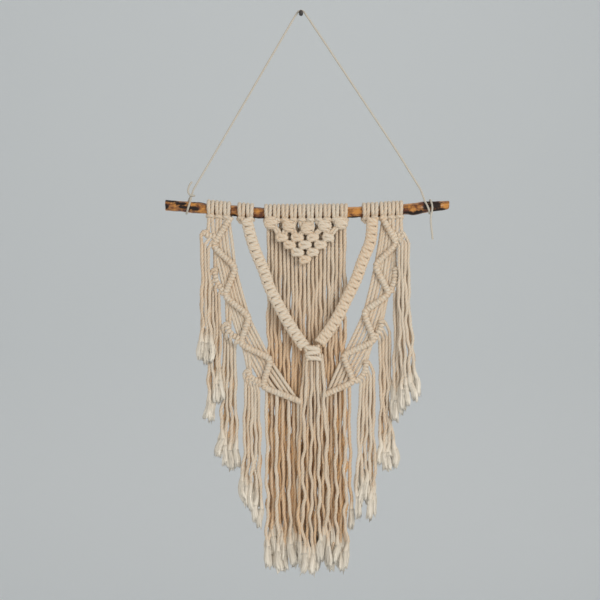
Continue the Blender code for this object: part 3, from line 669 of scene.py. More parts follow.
def smooth(points, step):
    """A smooth line through points, with points about a step apart."""
    p = np.array(points, float)
    ends = np.vstack([2 * p[0] - p[1], p, 2 * p[-1] - p[-2]])
    t = np.linspace(0.0, 1.0, CURVE_STEPS, endpoint=False)[:, None]
    legs = []
    for a, b, c, d in zip(ends, ends[1:], ends[2:], ends[3:]):
        legs.append(0.5 * (2 * b + (c - a) * t + (2 * a - 5 * b + 4 * c - d) * t ** 2
                           + (3 * b - 3 * c + d - a) * t ** 3))
    return evenly(np.vstack([*legs, p[-1:]]), step)


def at_depth(points, y):
    """Points of the front view set at one depth."""
    return np.array([(p.x, y, p.z) for p in points], float)


def directions(line, closed=False):
    """Unit tangents of a line."""
    if closed:
        return unit(np.roll(line, -1, axis=0) - np.roll(line, 1, axis=0))
    return unit(np.gradient(line, axis=0))


def carried(tangents):
    """Normals carried along a line without turning round it."""
    normal = FRONT if abs(tangents[0] @ FRONT) < 0.9 else RIGHT
    normals = np.empty_like(tangents)
    for i, tangent in enumerate(tangents):
        normal = normal - (normal @ tangent) * tangent
        normal = normal / np.linalg.norm(normal)
        normals[i] = normal
    return normals


# ---------------------------------------------------------------- cord meshes
class Cordage:
    """Gathers cords into one mesh, with a map along each cord and a shade value of its own: a random tone, or
    painted shade given by the caller.
    """

    def __init__(self, cord, seed):
        self.radius = cord.diameter / 2 / MM
        self.lay = cord.lay / MM
        self.groove = cord.groove
        self.sway = cord.sway / MM
        self.fray = cord.fray / MM
        self.chance = np.random.default_rng(seed)
        self.points = []
        self.faces = []
        self.maps = []
        self.shades = []
        self.total = 0

    def twisted(self, line, radius, sides=CORD_SIDES, lay=None, shade=None):
        """A cord of three plies along a line; radius is one number or one for each point."""
        lay = self.lay if lay is None else lay
        along = lengths(line)
        tangents = directions(line)
        normals = carried(tangents)
        turns = np.arange(sides) / sides
        angle = tau * (turns[None, :] + along[:, None] / lay + self.chance.random())
        ply = 1.0 + self.groove * (np.cos(tau * PLIES * turns) - 0.4)
        reach = np.broadcast_to(np.asarray(radius, float).reshape(-1, 1), (len(line), 1)) * ply[None, :]
        self.skin(line, tangents, normals, angle, reach, np.tile(turns, (len(line), 1)), along, shade, False)

    def flat(self, line, outward, radius, flatness, sides=WRAP_SIDES, closed=False):
        """A cord pressed flat against what it goes round; outward is square to what it lies on."""
        along = lengths(line)
        tangents = directions(line, closed)
        normals = unit(outward - (outward * tangents).sum(1, keepdims=True) * tangents)
        turns = np.arange(sides) / sides
        angle = np.tile(tau * turns, (len(line), 1))
        size = np.broadcast_to(np.asarray(radius, float).reshape(-1, 1), (len(line), 1))
        reach = size / np.sqrt((np.cos(angle) / flatness) ** 2 + np.sin(angle) ** 2)
        plies = turns[None, :] - along[:, None] / self.lay + self.chance.random()
        self.skin(line, tangents, normals, angle, reach, plies, along, None, closed)

    def skin(self, line, tangents, normals, angle, reach, plies, along, shade, closed):
        """Rings of points round a line, joined by faces."""
        count, sides = angle.shape
        across = np.cross(tangents, normals)
        ring = (np.cos(angle)[:, :, None] * normals[:, None, :]
                + np.sin(angle)[:, :, None] * across[:, None, :])
        points = line[:, None, :] + reach[:, :, None] * ring
        self.points.append(points.reshape(-1, 3))
        first = np.arange(count if closed else count - 1)
        following = (first + 1) % count
        i, j = np.meshgrid(first, np.arange(sides), indexing="ij")
        k = following[i]
        j_next = (j + 1) % sides
        corners = np.stack([i * sides + j, i * sides + j_next, k * sides + j_next, k * sides + j], axis=-1)
        self.faces.append((corners.reshape(-1, 4) + self.total).tolist())
        low = plies[i, j]
        top = np.where(k == 0, low, plies[k, j])
        v_low = along[i]
        v_top = np.where(k == 0, along[-1] + np.linalg.norm(line[0] - line[-1]), along[k])
        uv = np.stack([np.stack(corner, -1) for corner in (
            (low, v_low), (low + 1.0 / sides, v_low), (top + 1.0 / sides, v_top), (top, v_top)
        )], axis=-2)
        self.maps.append(uv.reshape(-1, 2))
        tone = self.chance.uniform(0.0, 0.3) if shade is None else shade
        tone = np.broadcast_to(np.asarray(tone, float), (count,))
        self.shades.append(np.repeat(tone, sides))
        made = count * sides
        if not closed:
            self.points.append(np.stack([line[0] - tangents[0] * reach[0].mean() * 0.4,
                                         line[-1] + tangents[-1] * reach[-1].mean() * 0.4]))
            self.shades.append(tone[[0, -1]])
            last, tip = self.total + (count - 1) * sides, self.total + made
            spokes = [(s, (s + 1) % sides) for s in range(sides)]
            self.faces.append([[self.total + b, self.total + a, tip] for a, b in spokes]
                              + [[last + a, last + b, tip + 1] for a, b in spokes])
            self.maps += [np.tile([[0.5, end]], (3 * sides, 1)) for end in (0.0, along[-1])]
            made += 2
        self.total += made

    def make(self, name, material, slot):
        """Turn the gathered cords into one piece that rides on the object's body."""
        mesh = bpy.data.meshes.new(name)
        points = np.concatenate(self.points) * MM
        faces = [face for group in self.faces for face in group]
        mesh.from_pydata(points, [], faces)
        layer = mesh.uv_layers.new(name="lay")
        layer.data.foreach_set("uv", np.concatenate(self.maps).astype(np.float32).ravel())
        shade = mesh.attributes.new("shade", "FLOAT", "POINT")
        shade.data.foreach_set("value", np.concatenate(self.shades).astype(np.float32))
        mesh.polygons.foreach_set("use_smooth", np.ones(len(mesh.polygons), bool))
        mesh.materials.append(material)
        piece = bpy.data.objects.new(name, mesh)
        bpy.context.scene.collection.objects.link(piece)
        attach(piece, "root")
        return piece


# ---------------------------------------------------------------- the branch's line
def branch_sections():
    """x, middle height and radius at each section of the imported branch."""
    points = np.array([v.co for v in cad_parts["branch"].data.vertices]) / MM
    stations = []
    for x in np.unique(points[:, 0].round(1)):
        ring = points[np.abs(points[:, 0] - x) < 0.2]
        middle = (ring[:, 2].max() + ring[:, 2].min()) / 2
        radius = np.hypot(ring[:, 1] - BRANCH_Y, ring[:, 2] - middle).mean()
        stations.append((x, middle, radius))
    return np.array(stations)


SECTIONS = branch_sections()


def branch_at(x):
    """Middle height and radius of the branch at x."""
    return np.interp(x, SECTIONS[:, 0], SECTIONS[:, 1]), np.interp(x, SECTIONS[:, 0], SECTIONS[:, 2])


def round_branch(x, degrees, away):
    """A point beside the branch: 0 degrees is its front and 90 its top."""
    middle, radius = branch_at(x)
    turn = radians(degrees)
    reach = radius + away
    return np.array((x, BRANCH_Y - reach * np.cos(turn), middle + reach * np.sin(turn)))


# ---------------------------------------------------------------- knots
def tie_larks_head(yarn, x, ends):
    """A lark's head at x whose two cords hang to the given end points."""
    away = LARK_OFF + yarn.radius
    left = [round_branch(x - across, turn, away + lift) for across, turn, lift in reversed(LARK_HALF)]
    right = [round_branch(x + across, turn, away + lift) for across, turn, lift in LARK_HALF[1:]]
    middle, radius = branch_at(x)
    start, finish = (np.array((x + across, PANEL_Y - 0.6, middle - radius - LARK_DROP))
                     for across in (-LARK_APART, LARK_APART))
    line = smooth([ends[0], start, *left, *right, finish, ends[1]], RING_STEP)
    yarn.twisted(line, yarn.radius * LARK_THICK)


def tie_square_knots(yarn, axis, side, out, knots, half, depth, radius, cores=2, waist=None,
                     level=CROSSING_LEVEL, wide=CROSSING_WIDE):
    """Square knots along an axis: one working cord crosses in front of the cores, one behind."""
    steps = max(8, int(knots * KNOT_STEPS))
    s = np.linspace(0.0, knots, steps + 1)
    turn = tau * s
    spots = np.linspace(0.0, 1.0, len(axis))
    place = np.clip((s + level * np.sin(2 * turn) + CROSSING_PAIR * np.sin(turn)) / knots, 0.0, 1.0)

    def along(values, at):
        return np.stack([np.interp(at, spots, values[:, k]) for k in range(3)], axis=1)

    middle, sideways, outward = along(axis, place), along(side, place), along(out, place)
    reach = half * (np.ones(len(s)) if waist is None else np.interp(place, spots, waist))
    crossing = np.abs(np.sin(turn)) ** 0.7
    edge = np.cos(turn) ** 6
    lifts = {-1.0: depth * crossing - EDGE_RECESS * edge, 1.0: EDGE_BUMP * edge - depth * crossing}
    for sign, lift in lifts.items():
        x = sign * reach * np.cos(turn) * (1.0 + yarn.chance.normal(0.0, 0.02))
        line = middle + sideways * x[:, None] + outward * lift[:, None]
        away = sideways * (sign * np.cos(turn))[:, None] + outward * (-sign * crossing + 0.5 * edge)[:, None]
        yarn.flat(line, unit(away), radius * (wide - (wide - EDGE_WIDE) * edge), CROSSING_PRESS, KNOT_SIDES)
    at = np.linspace(0, 1, max(3, int(knots * 4)))
    for i in range(cores):
        offset = (i - (cores - 1) / 2) * CORE_APART * radius
        yarn.twisted(along(axis, at) + along(side, at) * offset, radius * CORE_THICK, KNOT_SIDES)


def tie_ball(yarn, middle, radius, ball):
    """Square knots bent over a short arc, so that they stand out as a round lump."""
    turn = np.linspace(ball.arc, -ball.arc, BALL_STEPS)
    out = np.stack([np.zeros(BALL_STEPS), -np.cos(turn), np.sin(turn)], axis=1)
    tilt = yarn.chance.normal(0.0, BALL_TILT)
    side = unit(np.tile(RIGHT + tilt * DOWN, (BALL_STEPS, 1)))
    centre = np.array((middle.x, NET_Y + ball.round - BALL_RISE, middle.z))
    waist = np.cos(turn) ** 0.5
    size = 1.0 + yarn.chance.normal(0.0, 0.03)
    axis = centre + ball.round * size * out
    tie_square_knots(yarn, axis, side, out, ball.knots, ball.half * size, ball.lift, radius, ball.cores,
                     waist, ball.level, ball.wide)


def tie_wraps(yarn, path, reach, width, slant, flatness):
    """Half hitches side by side over a leading cord."""
    tangents = directions(path)
    angle = tau * np.arange(WRAP_STEPS) / WRAP_STEPS
    for i, (middle, tangent) in enumerate(zip(path, tangents)):
        side = np.cross(tangent, FRONT)
        tilt = slant * (1.0 if i % 2 else 0.7) + yarn.chance.normal(0.0, 0.15)
        ring = np.cos(angle)[:, None] * side + np.sin(angle)[:, None] * FRONT
        size = reach * (1.0 + yarn.chance.normal(0.0, 0.03))
        line = middle + size * ring + tangent * (tilt * np.cos(angle))[:, None]
        yarn.flat(line, ring, width, flatness, closed=True)


def rounded_turns(turns, y):
    """The line of a zigzag, rounded where it turns."""
    points = [turns[0]]
    for before, turn, after in zip(turns, turns[1:], turns[2:]):
        near, far = (between(turn, other, TURN_ROUNDING / hypot(other.x - turn.x, other.z - turn.z))
                     for other in (before, after))
        points += [near, between(turn, between(near, far, 0.5), TURN_CUT), far]
    points.append(turns[-1])
    return at_depth(points, y)


def between(start, end, share):
    """The point of the front view at a share of the way from start to end."""
    return Point(start.x + (end.x - start.x) * share, start.z + (end.z - start.z) * share)


def lay_fields(yarn, turns):
    """The slanted cords between the rows that meet at each turn."""
    for before, turn, after in zip(turns, turns[1:], turns[2:]):
        for k in range(FIELD_CORDS):
            share = FIELD_NEAR + (FIELD_FAR - FIELD_NEAR) * k / (FIELD_CORDS - 1)
            lay_field_cord(yarn, between(turn, before, share), between(turn, after, share))


def lay_field_cord(yarn, top, foot):
    """One cord from the underside of a row to the top of the next, with painted shade where it goes under."""
    bow = yarn.chance.normal(0.0, 0.5)
    y = FIELD_Y + yarn.chance.normal(0.0, 0.4)
    line = smooth([(top.x, y + 0.6, top.z), ((top.x + foot.x) / 2 + bow, y - 1.0, (top.z + foot.z) / 2),
                   (foot.x, y + 0.6, foot.z)], RING_STEP)
    share = np.linspace(-1.0, 1.0, len(line))
    yarn.twisted(line, yarn.radius, shade=yarn.chance.uniform(0.0, 0.25) + FIELD_SHADE * share ** 6)


def column_line(column, turn):
    """The line of a knot column, which starts straight down and leans in to its row's turn."""
    start, end = column
    bend = Point(start.x + (end.x - start.x) * COLUMN_BEND.x, start.z + (end.z - start.z) * COLUMN_BEND.z)
    return [start, bend, end, between(end, turn, COLUMN_LEAN)]


# ---------------------------------------------------------------- fringe
def hang_cord(yarn, strand, top, y, lead=(), tint=None, sides=CORD_SIDES):
    """One fringe cord: from its knot down its table line, with kinks, to a frayed end."""
    fall = top - strand.z_end
    s = np.linspace(0.0, 1.0, max(6, int(fall / FRINGE_STEP)))
    x = (strand.x_top * (1 - s) * (1 - 2 * s) + strand.x_mid * 4 * s * (1 - s)
         + strand.x_end * s * (2 * s - 1))
    z = top - fall * s
    ramp = np.clip(s * fall / KINK_EASE, 0.0, 1.0) ** 1.3 * np.clip(KINK_TOP + KINK_GAIN * s, 0, 1)
    ramp = ramp * yarn.sway * yarn.chance.uniform(0.6, 1.25)
    a, b, c, d = yarn.chance.random(4) * 3.0 + strand.x_mid * np.array((0.21, 0.37, 0.16, 0.29))
    stretch = z * yarn.chance.uniform(0.85, 1.2)
    kink = np.sin(tau * stretch / KINK_LONG + a) + 0.55 * np.sin(tau * stretch / KINK_SHORT + b)
    wave = 0.8 * np.cos(tau * stretch / KINK_LONG + c) + 0.4 * np.cos(tau * stretch / KINK_SHORT + d)
    line = np.stack([x + ramp * kink, y + ramp * wave, z], axis=1)
    if len(lead):
        begin = smooth([*lead, line[0], line[1]], FRINGE_STEP)
        line = np.vstack([begin[:-2], line])
    tone = yarn.chance.uniform(0.0, 0.3)
    # Painted shade from the given table, growing lower down, on top of the random tone
    if tint:
        tone = np.interp(line[:, 2], (tint.z_low, tint.z_high), (tint.low, tint.high)) + tone * 0.5
    tone = np.broadcast_to(tone, (len(line),))
    size = yarn.radius * yarn.chance.uniform(0.9, 1.0)
    last = int(yarn.fray / FRINGE_STEP)
    bulge = 1.0 + BULGE * np.sin(tau * stretch.mean() + np.arange(len(line)) * FRINGE_STEP / BULGE_LONG)
    cut = len(line) - last + 2
    yarn.twisted(line[:cut], (size * bulge)[:cut], sides=sides, shade=tone[:cut])
    fray_end(yarn, line[-last:], size, tone[-1])


def hang_back_row(yarn, strands, tops, y, tint):
    """Cords behind the gaps of a row, darkened with painted shade so that the gaps look shaded."""
    for one, other, top_one, top_other in zip(strands, strands[1:], tops, tops[1:]):
        shift = yarn.chance.normal(0.0, 0.8)
        middle = [(a + b) / 2 + shift for a, b in zip(one, other)]
        middle[-1] += yarn.chance.uniform(*BACK_SHORTER)
        hang_cord(yarn, Strand(*middle), (top_one + top_other) / 2 - BACK_DROP, y, (), tint, BACK_SIDES)


def fray_end(yarn, line, size, tone):
    """A cord's combed-out end: a soft ragged brush with loose fibres round it."""
    stub = evenly(line, yarn.fray / (BRUSH_RINGS - 1))
    share = np.linspace(0.0, 1.0, len(stub))
    stub[:, 0] += yarn.chance.normal(0.0, 1.2) * share ** 2
    tangents = directions(stub)
    normals = carried(tangents)
    across = np.cross(tangents, normals)
    along = share * yarn.fray
    turns = np.arange(BRUSH_SIDES) / BRUSH_SIDES
    angle = tau * turns[None, :] + 0.35 * share[:, None]
    spread = yarn.chance.uniform(0.75, 1.1) * FRAY_SPREAD
    opening = FRAY_NECK + (spread - FRAY_NECK) * np.sin(0.5 * pi * share) ** 1.3
    opening = opening * (1.0 - 0.16 * share ** 8)
    strands = yarn.chance.normal(0.0, 1.0, BRUSH_SIDES)
    lump = 1.0 + 0.2 * share[:, None] * strands[None, :] + 0.03 * yarn.chance.normal(0, 1, angle.shape)
    reach = size * opening[:, None] * lump
    # The cord's painted shade fades out along the brush, which pales towards the combed colour at its tip
    light = tone * (1.0 - share) * 0.5 - 0.08 - 0.3 * share
    plies = np.tile(turns * 2.0, (len(stub), 1))
    yarn.skin(stub, tangents, normals, angle, reach, plies, along, light, False)
    ragged = yarn.points[-2].reshape(len(stub), BRUSH_SIDES, 3)
    ragged[-1] += tangents[-1] * yarn.chance.normal(0.5, 3.2, BRUSH_SIDES)[:, None]
    ragged[-2] += tangents[-2] * yarn.chance.normal(0.0, 1.2, BRUSH_SIDES)[:, None]
    for k in range(FIBRES):
        turn = tau * GOLDEN_TURN * k + yarn.chance.normal(0.0, 0.3) + share * 0.4
        out = size * opening * yarn.chance.uniform(0.8, 1.3)
        wobble = yarn.chance.normal(0.0, 0.3, (len(stub), 3)) * share[:, None]
        fibre = (stub + (np.cos(turn) * out)[:, None] * normals + (np.sin(turn) * out)[:, None] * across
                 + wobble)[len(stub) // 3:]
        fibre[-1] += tangents[-1] * yarn.chance.normal(0.5, 2.5)
        yarn.twisted(fibre, FIBRE_RADIUS * np.linspace(1.0, 0.5, len(fibre)), FIBRE_SIDES, shade=light[-1])


# ---------------------------------------------------------------- pieces
def tie_off(yarn, context, name, node):
    """Make the gathered cords one piece of knotted cotton, which stands for a CAD node."""
    cord = context.scene.macrame_cord
    cotton = bpy.data.materials.get("natural_cotton_cord") or cotton_cord(
        "natural_cotton_cord", cord.colour, cord.combed_colour, cord, yarn.lay, yarn.radius, COTTON_FUZZ
    )
    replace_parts(yarn.make(name, cotton, "natural_cotton"), node)


def row_height(turns, x):
    """Height of a panel's first row at x."""
    low, high = sorted(turns[:2])
    return float(np.interp(x, (low.x, high.x), (low.z, high.z)))


def heading_end(kind, x, sign):
    """Where a heading cord goes out of sight in the knot below."""
    if kind == "berry":
        nearest = min(BERRIES, key=lambda p: abs(p.x - x))
        return np.array((x + (nearest.x - x) * 0.3 + sign * 2.4, NET_Y + 0.5, nearest.z + 1.0))
    if kind == "band":
        route = LEFT_BAND if x < 0 else RIGHT_BAND
        return np.array((x + (route[0].x - x) * 0.55 + sign * 1.5, BAND_Y + 2.5, route[0].z - 6.0))
    turns = LEFT_TURNS if kind == "row_left" else RIGHT_TURNS
    columns = LEFT_COLUMNS if kind == "row_left" else RIGHT_COLUMNS
    outer = min(turns[:2], key=lambda p: -abs(p.x))
    place = x + sign * 2.9
    if abs(place) > abs(outer.x) - 1.0:
        return np.array((place + sign * 0.8, PANEL_Y - 0.5, columns[0].start.z - 1.0))
    return np.array((place, PANEL_Y + 0.8, row_height(turns, place)))


class MACRAME_OT_branch(bpy.types.Operator):
    """Shape the lacquered branch."""

    bl_idname = "macrame.branch"
    bl_label = "Branch"

    def execute(self, context):
        wood = context.scene.macrame_wood
        bpy.ops.object.select_all(action="DESELECT")
        start, end = SECTIONS[[0, -1], 0]
        x = np.concatenate([np.arange(start, end - BRANCH_STEP / 2, BRANCH_STEP), [end]])
        height, radius = branch_at(x)
        centres = np.stack([x, np.full(len(x), BRANCH_Y), height], axis=1) * MM
        bpy.ops.mesh.primitive_circle_add(vertices=BRANCH_SIDES, radius=radius[0] * MM, fill_type="NGON",
                                          location=centres[0], rotation=(0.0, pi / 2, 0.0),
                                          enter_editmode=True)
        piece = context.object
        piece.name = piece.data.name = "lacquered_branch"
        for here, there, old, new in zip(centres, centres[1:], radius, radius[1:]):
            bpy.ops.mesh.extrude_region_move(TRANSFORM_OT_translate={"value": there - here})
            bpy.ops.transform.resize(value=(new / old,) * 3, center_override=there)
        bpy.ops.mesh.select_all(action="SELECT")
        bpy.ops.mesh.normals_make_consistent(inside=False)
        bpy.ops.object.mode_set(mode="OBJECT")
        bpy.ops.object.transform_apply(location=True, rotation=True, scale=True)
        bevel = piece.modifiers.new("worn ends", "BEVEL")
        bevel.width, bevel.segments, bevel.limit_method = END_BEVEL * MM, 2, "ANGLE"
        bevel.angle_limit = radians(60)
        finer = piece.modifiers.new("finer", "SUBSURF")
        finer.levels = finer.render_levels = 1
        for name, size, strength in LUMPS:
            pattern = bpy.data.textures.new(name, "CLOUDS")
            pattern.noise_scale = size
            lumps = piece.modifiers.new(name, "DISPLACE")
            lumps.texture = pattern
            lumps.texture_coords = "LOCAL"
            lumps.strength = wood.unevenness * 2 * strength
            lumps.mid_level = 0.5
        for modifier in [m.name for m in piece.modifiers]:
            bpy.ops.object.modifier_apply(modifier=modifier)
        self.paint_bark(piece)
        piece.data.materials.append(lacquered_wood("lacquered_wood_and_bark", wood))
        piece.data.materials.append(end_grain("sawn_end", wood))
        ends = np.array([abs(face.normal.x) > END_FACING for face in piece.data.polygons])
        piece.data.polygons.foreach_set("material_index", ends.astype(np.int32))
        piece.data.polygons.foreach_set("use_smooth", np.ones(len(piece.data.polygons), bool))
        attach(piece, "root")
        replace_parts(piece, "branch")
        return {"FINISHED"}

    @staticmethod
    def paint_bark(piece):
        """How much bark each point of the branch carries."""
        points = np.array([v.co for v in piece.data.vertices]) / MM
        height, _ = branch_at(points[:, 0])
        turn = np.degrees(np.arctan2(points[:, 2] - height, BRANCH_Y - points[:, 1]))
        most = np.zeros(len(points))
        for patch in BARK:
            apart = (turn - patch.turn + 180.0) % 360.0 - 180.0
            away = np.hypot((points[:, 0] - patch.x) / patch.long, apart / patch.wide)
            most = np.maximum(most, np.clip(1.35 - 0.75 * away, 0.0, 1.0))
        layer = piece.data.attributes.new("bark", "FLOAT", "POINT")
        layer.data.foreach_set("value", most.astype(np.float32))


class MACRAME_OT_nail(bpy.types.Operator):
    """Shape the nail that carries the hanging cord."""

    bl_idname = "macrame.nail"
    bl_label = "Nail"

    def execute(self, context):
        low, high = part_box("nail")
        bpy.ops.object.select_all(action="DESELECT")
        shank = high.y - low.y - NAIL_HEAD_DEEP * MM
        bpy.ops.mesh.primitive_cylinder_add(vertices=24, radius=NAIL_RADIUS * MM, depth=shank,
                                            location=(0.0, high.y - shank / 2, 0.0),
                                            rotation=(pi / 2, 0.0, 0.0), enter_editmode=True)
        piece = context.object
        piece.name = piece.data.name = "nail_of_steel"
        bpy.ops.object.mode_set(mode="OBJECT")
        bpy.ops.object.transform_apply(location=True, rotation=True, scale=True)
        for face in piece.data.polygons:
            face.select = face.normal.y < -0.9
        bpy.ops.object.mode_set(mode="EDIT")
        bpy.ops.mesh.select_mode(type="FACE")
        for rise, wide in NAIL_HEAD:
            bpy.ops.mesh.extrude_region_move(TRANSFORM_OT_translate={"value": (0.0, -rise * MM, 0.0)})
            bpy.ops.transform.resize(value=(wide, 1.0, wide), center_override=(0.0, low.y, 0.0))
        bpy.ops.mesh.select_all(action="SELECT")
        bpy.ops.mesh.normals_make_consistent(inside=False)
        bpy.ops.object.mode_set(mode="OBJECT")
        rounding = piece.modifiers.new("soft edges", "BEVEL")
        rounding.width, rounding.segments, rounding.limit_method = NAIL_ROUNDING * MM, 2, "ANGLE"
        bpy.ops.object.modifier_apply(modifier=rounding.name)
        bpy.ops.object.shade_smooth_by_angle(angle=radians(40))
        piece.data.materials.append(dull_steel("dull_nail_steel", context.scene.macrame_wood))
        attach(piece, "root")
        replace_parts(piece, "nail")
        return {"FINISHED"}


class MACRAME_OT_hanging_cord(bpy.types.Operator):
    """Run the thin hanging cord over the nail and tie it to the branch."""

    bl_idname = "macrame.hanging_cord"
    bl_label = "Hanging cord"

    def execute(self, context):
        cord = context.scene.macrame_cord
        yarn = Cordage(cord, seed=3)
        radius = cord.hanger_diameter / 2 / MM
        away = HANGER_OFF + radius
        left, right = ([round_branch(x, turn, away + lift) for x, turn, lift in hitch]
                       for hitch in (LEFT_HITCH, RIGHT_HITCH))
        line = smooth([*HANGER_LEFT_KNOT, *left, *HANGER_RUN, *right, *HANGER_RIGHT_TAIL], HANGER_STEP)
        yarn.groove = HANGER_GROOVE
        yarn.twisted(line, radius, KNOT_SIDES, HANGER_LAY, 0.0)
        # The thin cord's colour is its own grey-green with painted shade as well
        cotton = cotton_cord("thin_hanging_cotton", cord.hanger_colour_and_shade, cord.hanger_colour_and_shade, cord, HANGER_LAY,
                             radius, HANGER_FUZZ)
        body = yarn.make("hanging_rope", cotton, "hanger_cotton")
        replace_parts(body, "hanging_cord", "cord_wrap_left", "cord_wrap_right", "cord_tail_left",
                    "cord_tail_right")
        return {"FINISHED"}


class MACRAME_OT_larks_heads(bpy.types.Operator):
    """Tie the lark's heads round the branch."""

    bl_idname = "macrame.larks_heads"
    bl_label = "Lark's heads"

    def execute(self, context):
        for i, row in enumerate(HEADINGS):
            yarn = Cordage(context.scene.macrame_cord, seed=20 + i)
            for x in row.middles:
                tie_larks_head(yarn, x, [heading_end(row.ends, x, sign) for sign in (-1, 1)])
            tie_off(yarn, context, row.node.replace("heading", "larks_heads"), row.node)
        return {"FINISHED"}


class MACRAME_OT_berry_net(bpy.types.Operator):
    """Tie the berry knots and the pointed net of square knots under them."""

    bl_idname = "macrame.berry_net"
    bl_label = "Berry knots and net"

    def execute(self, context):
        yarn = Cordage(context.scene.macrame_cord, seed=31)
        radius = yarn.radius * NET_THICK
        for berry in BERRIES:
            tie_ball(yarn, berry, radius, BERRY)
        rows = self.knot_rows()
        for row in rows:
            for middle in row:
                tie_ball(yarn, middle, radius, NET_KNOT)
        above = BERRIES
        for row in rows:
            for i, middle in enumerate(row):
                for upper, sign in ((above[i], -1), (above[i + 1], 1)):
                    for shift in (0.0, NET_PAIR):
                        line = [(upper.x - sign * (1.0 + shift), NET_Y + 1.0, upper.z - 4.0),
                                ((upper.x + middle.x) / 2 + sign * (1.5 - shift), NET_Y - 0.5,
                                 (upper.z + middle.z) / 2),
                                (middle.x + sign * (5.5 - shift), NET_Y + 1.0, middle.z + 3.0)]
                        yarn.twisted(smooth(line, RING_STEP), radius)
            above = row
        tie_off(yarn, context, "berry_knots_and_net", "knot_net")
        return {"FINISHED"}

    @staticmethod
    def knot_rows():
        """Middles of the net's knots, row by row."""
        rows = []
        for row in range(NET_TOP_KNOTS):
            count = NET_TOP_KNOTS - row
            left = NET_CENTRE_X - NET_PITCH_X * (count - 1) / 2
            z = NET_TOP_Z - NET_PITCH_Z * row
            rows.append([Point(left + NET_PITCH_X * i, z) for i in range(count)])
        return rows


class MACRAME_OT_bands(bpy.types.Operator):
    """Tie the two square-knot bands and the knot that joins them."""

    bl_idname = "macrame.bands"
    bl_label = "Square-knot bands"

    def execute(self, context):
        for name, route, node, seed in (("square_knot_band_left", LEFT_BAND, "band_left", 41),
                                        ("square_knot_band_right", RIGHT_BAND, "band_right", 42)):
            yarn = Cordage(context.scene.macrame_cord, seed=seed)
            axis = smooth(at_depth(route, BAND_Y), 3.0)
            side = np.cross(directions(axis), FRONT)
            side = side * np.sign(side[:, :1]) * (-1.0 if node == "band_left" else 1.0)
            knots = round(lengths(axis)[-1] / BAND_PITCH)
            tie_square_knots(yarn, axis, side, np.tile(FRONT, (len(axis), 1)), knots, BAND_HALF, BAND_DEPTH,
                             yarn.radius)
            tie_off(yarn, context, name, node)
        yarn = Cordage(context.scene.macrame_cord, seed=43)
        axis = at_depth([JOIN_TOP, JOIN_FOOT], BAND_Y - 0.8)
        side, out = (np.tile(way, (2, 1)) for way in (RIGHT, FRONT))
        tie_square_knots(yarn, axis, side, out, JOIN_KNOTS, JOIN_HALF, JOIN_DEPTH, yarn.radius, JOIN_CORES)
        tie_off(yarn, context, "joining_knot", "band_join")
        return {"FINISHED"}


class MACRAME_OT_zigzags(bpy.types.Operator):
    """Tie the two zigzag panels with their slanted cords and outer knot columns."""

    bl_idname = "macrame.zigzags"
    bl_label = "Zigzag panels"

    def execute(self, context):
        for side, turns, columns, seed in (("left", LEFT_TURNS, LEFT_COLUMNS, 51),
                                           ("right", RIGHT_TURNS, RIGHT_COLUMNS, 52)):
            yarn = Cordage(context.scene.macrame_cord, seed=seed)
            ridge = smooth(rounded_turns(turns, RIDGE_Y), RING_STEP)
            yarn.twisted(ridge, LEADER)
            tie_wraps(yarn, evenly(ridge, WRAP_PITCH), WRAP_REACH, WRAP_WIDE, WRAP_SLANT, WRAP_FLAT)
            lay_fields(yarn, turns)
            for i, column in enumerate(columns):
                if i:
                    row = turns[2 * i - 1:2 * i + 1]
                    for share in COLUMN_FIELD:
                        lay_field_cord(yarn, between(*row, share), between(column.start, column.end, share))
                line = smooth(at_depth(column_line(column, turns[2 * i + 1]), PANEL_Y - 1.0), RING_STEP)
                yarn.twisted(line, LEADER)
                tie_wraps(yarn, evenly(line, COLUMN_PITCH), COLUMN_REACH, COLUMN_WIDE, COLUMN_SLANT,
                          COLUMN_FLAT)
            tie_off(yarn, context, f"zigzag_knotting_{side}", f"zigzag_{side}")
        return {"FINISHED"}


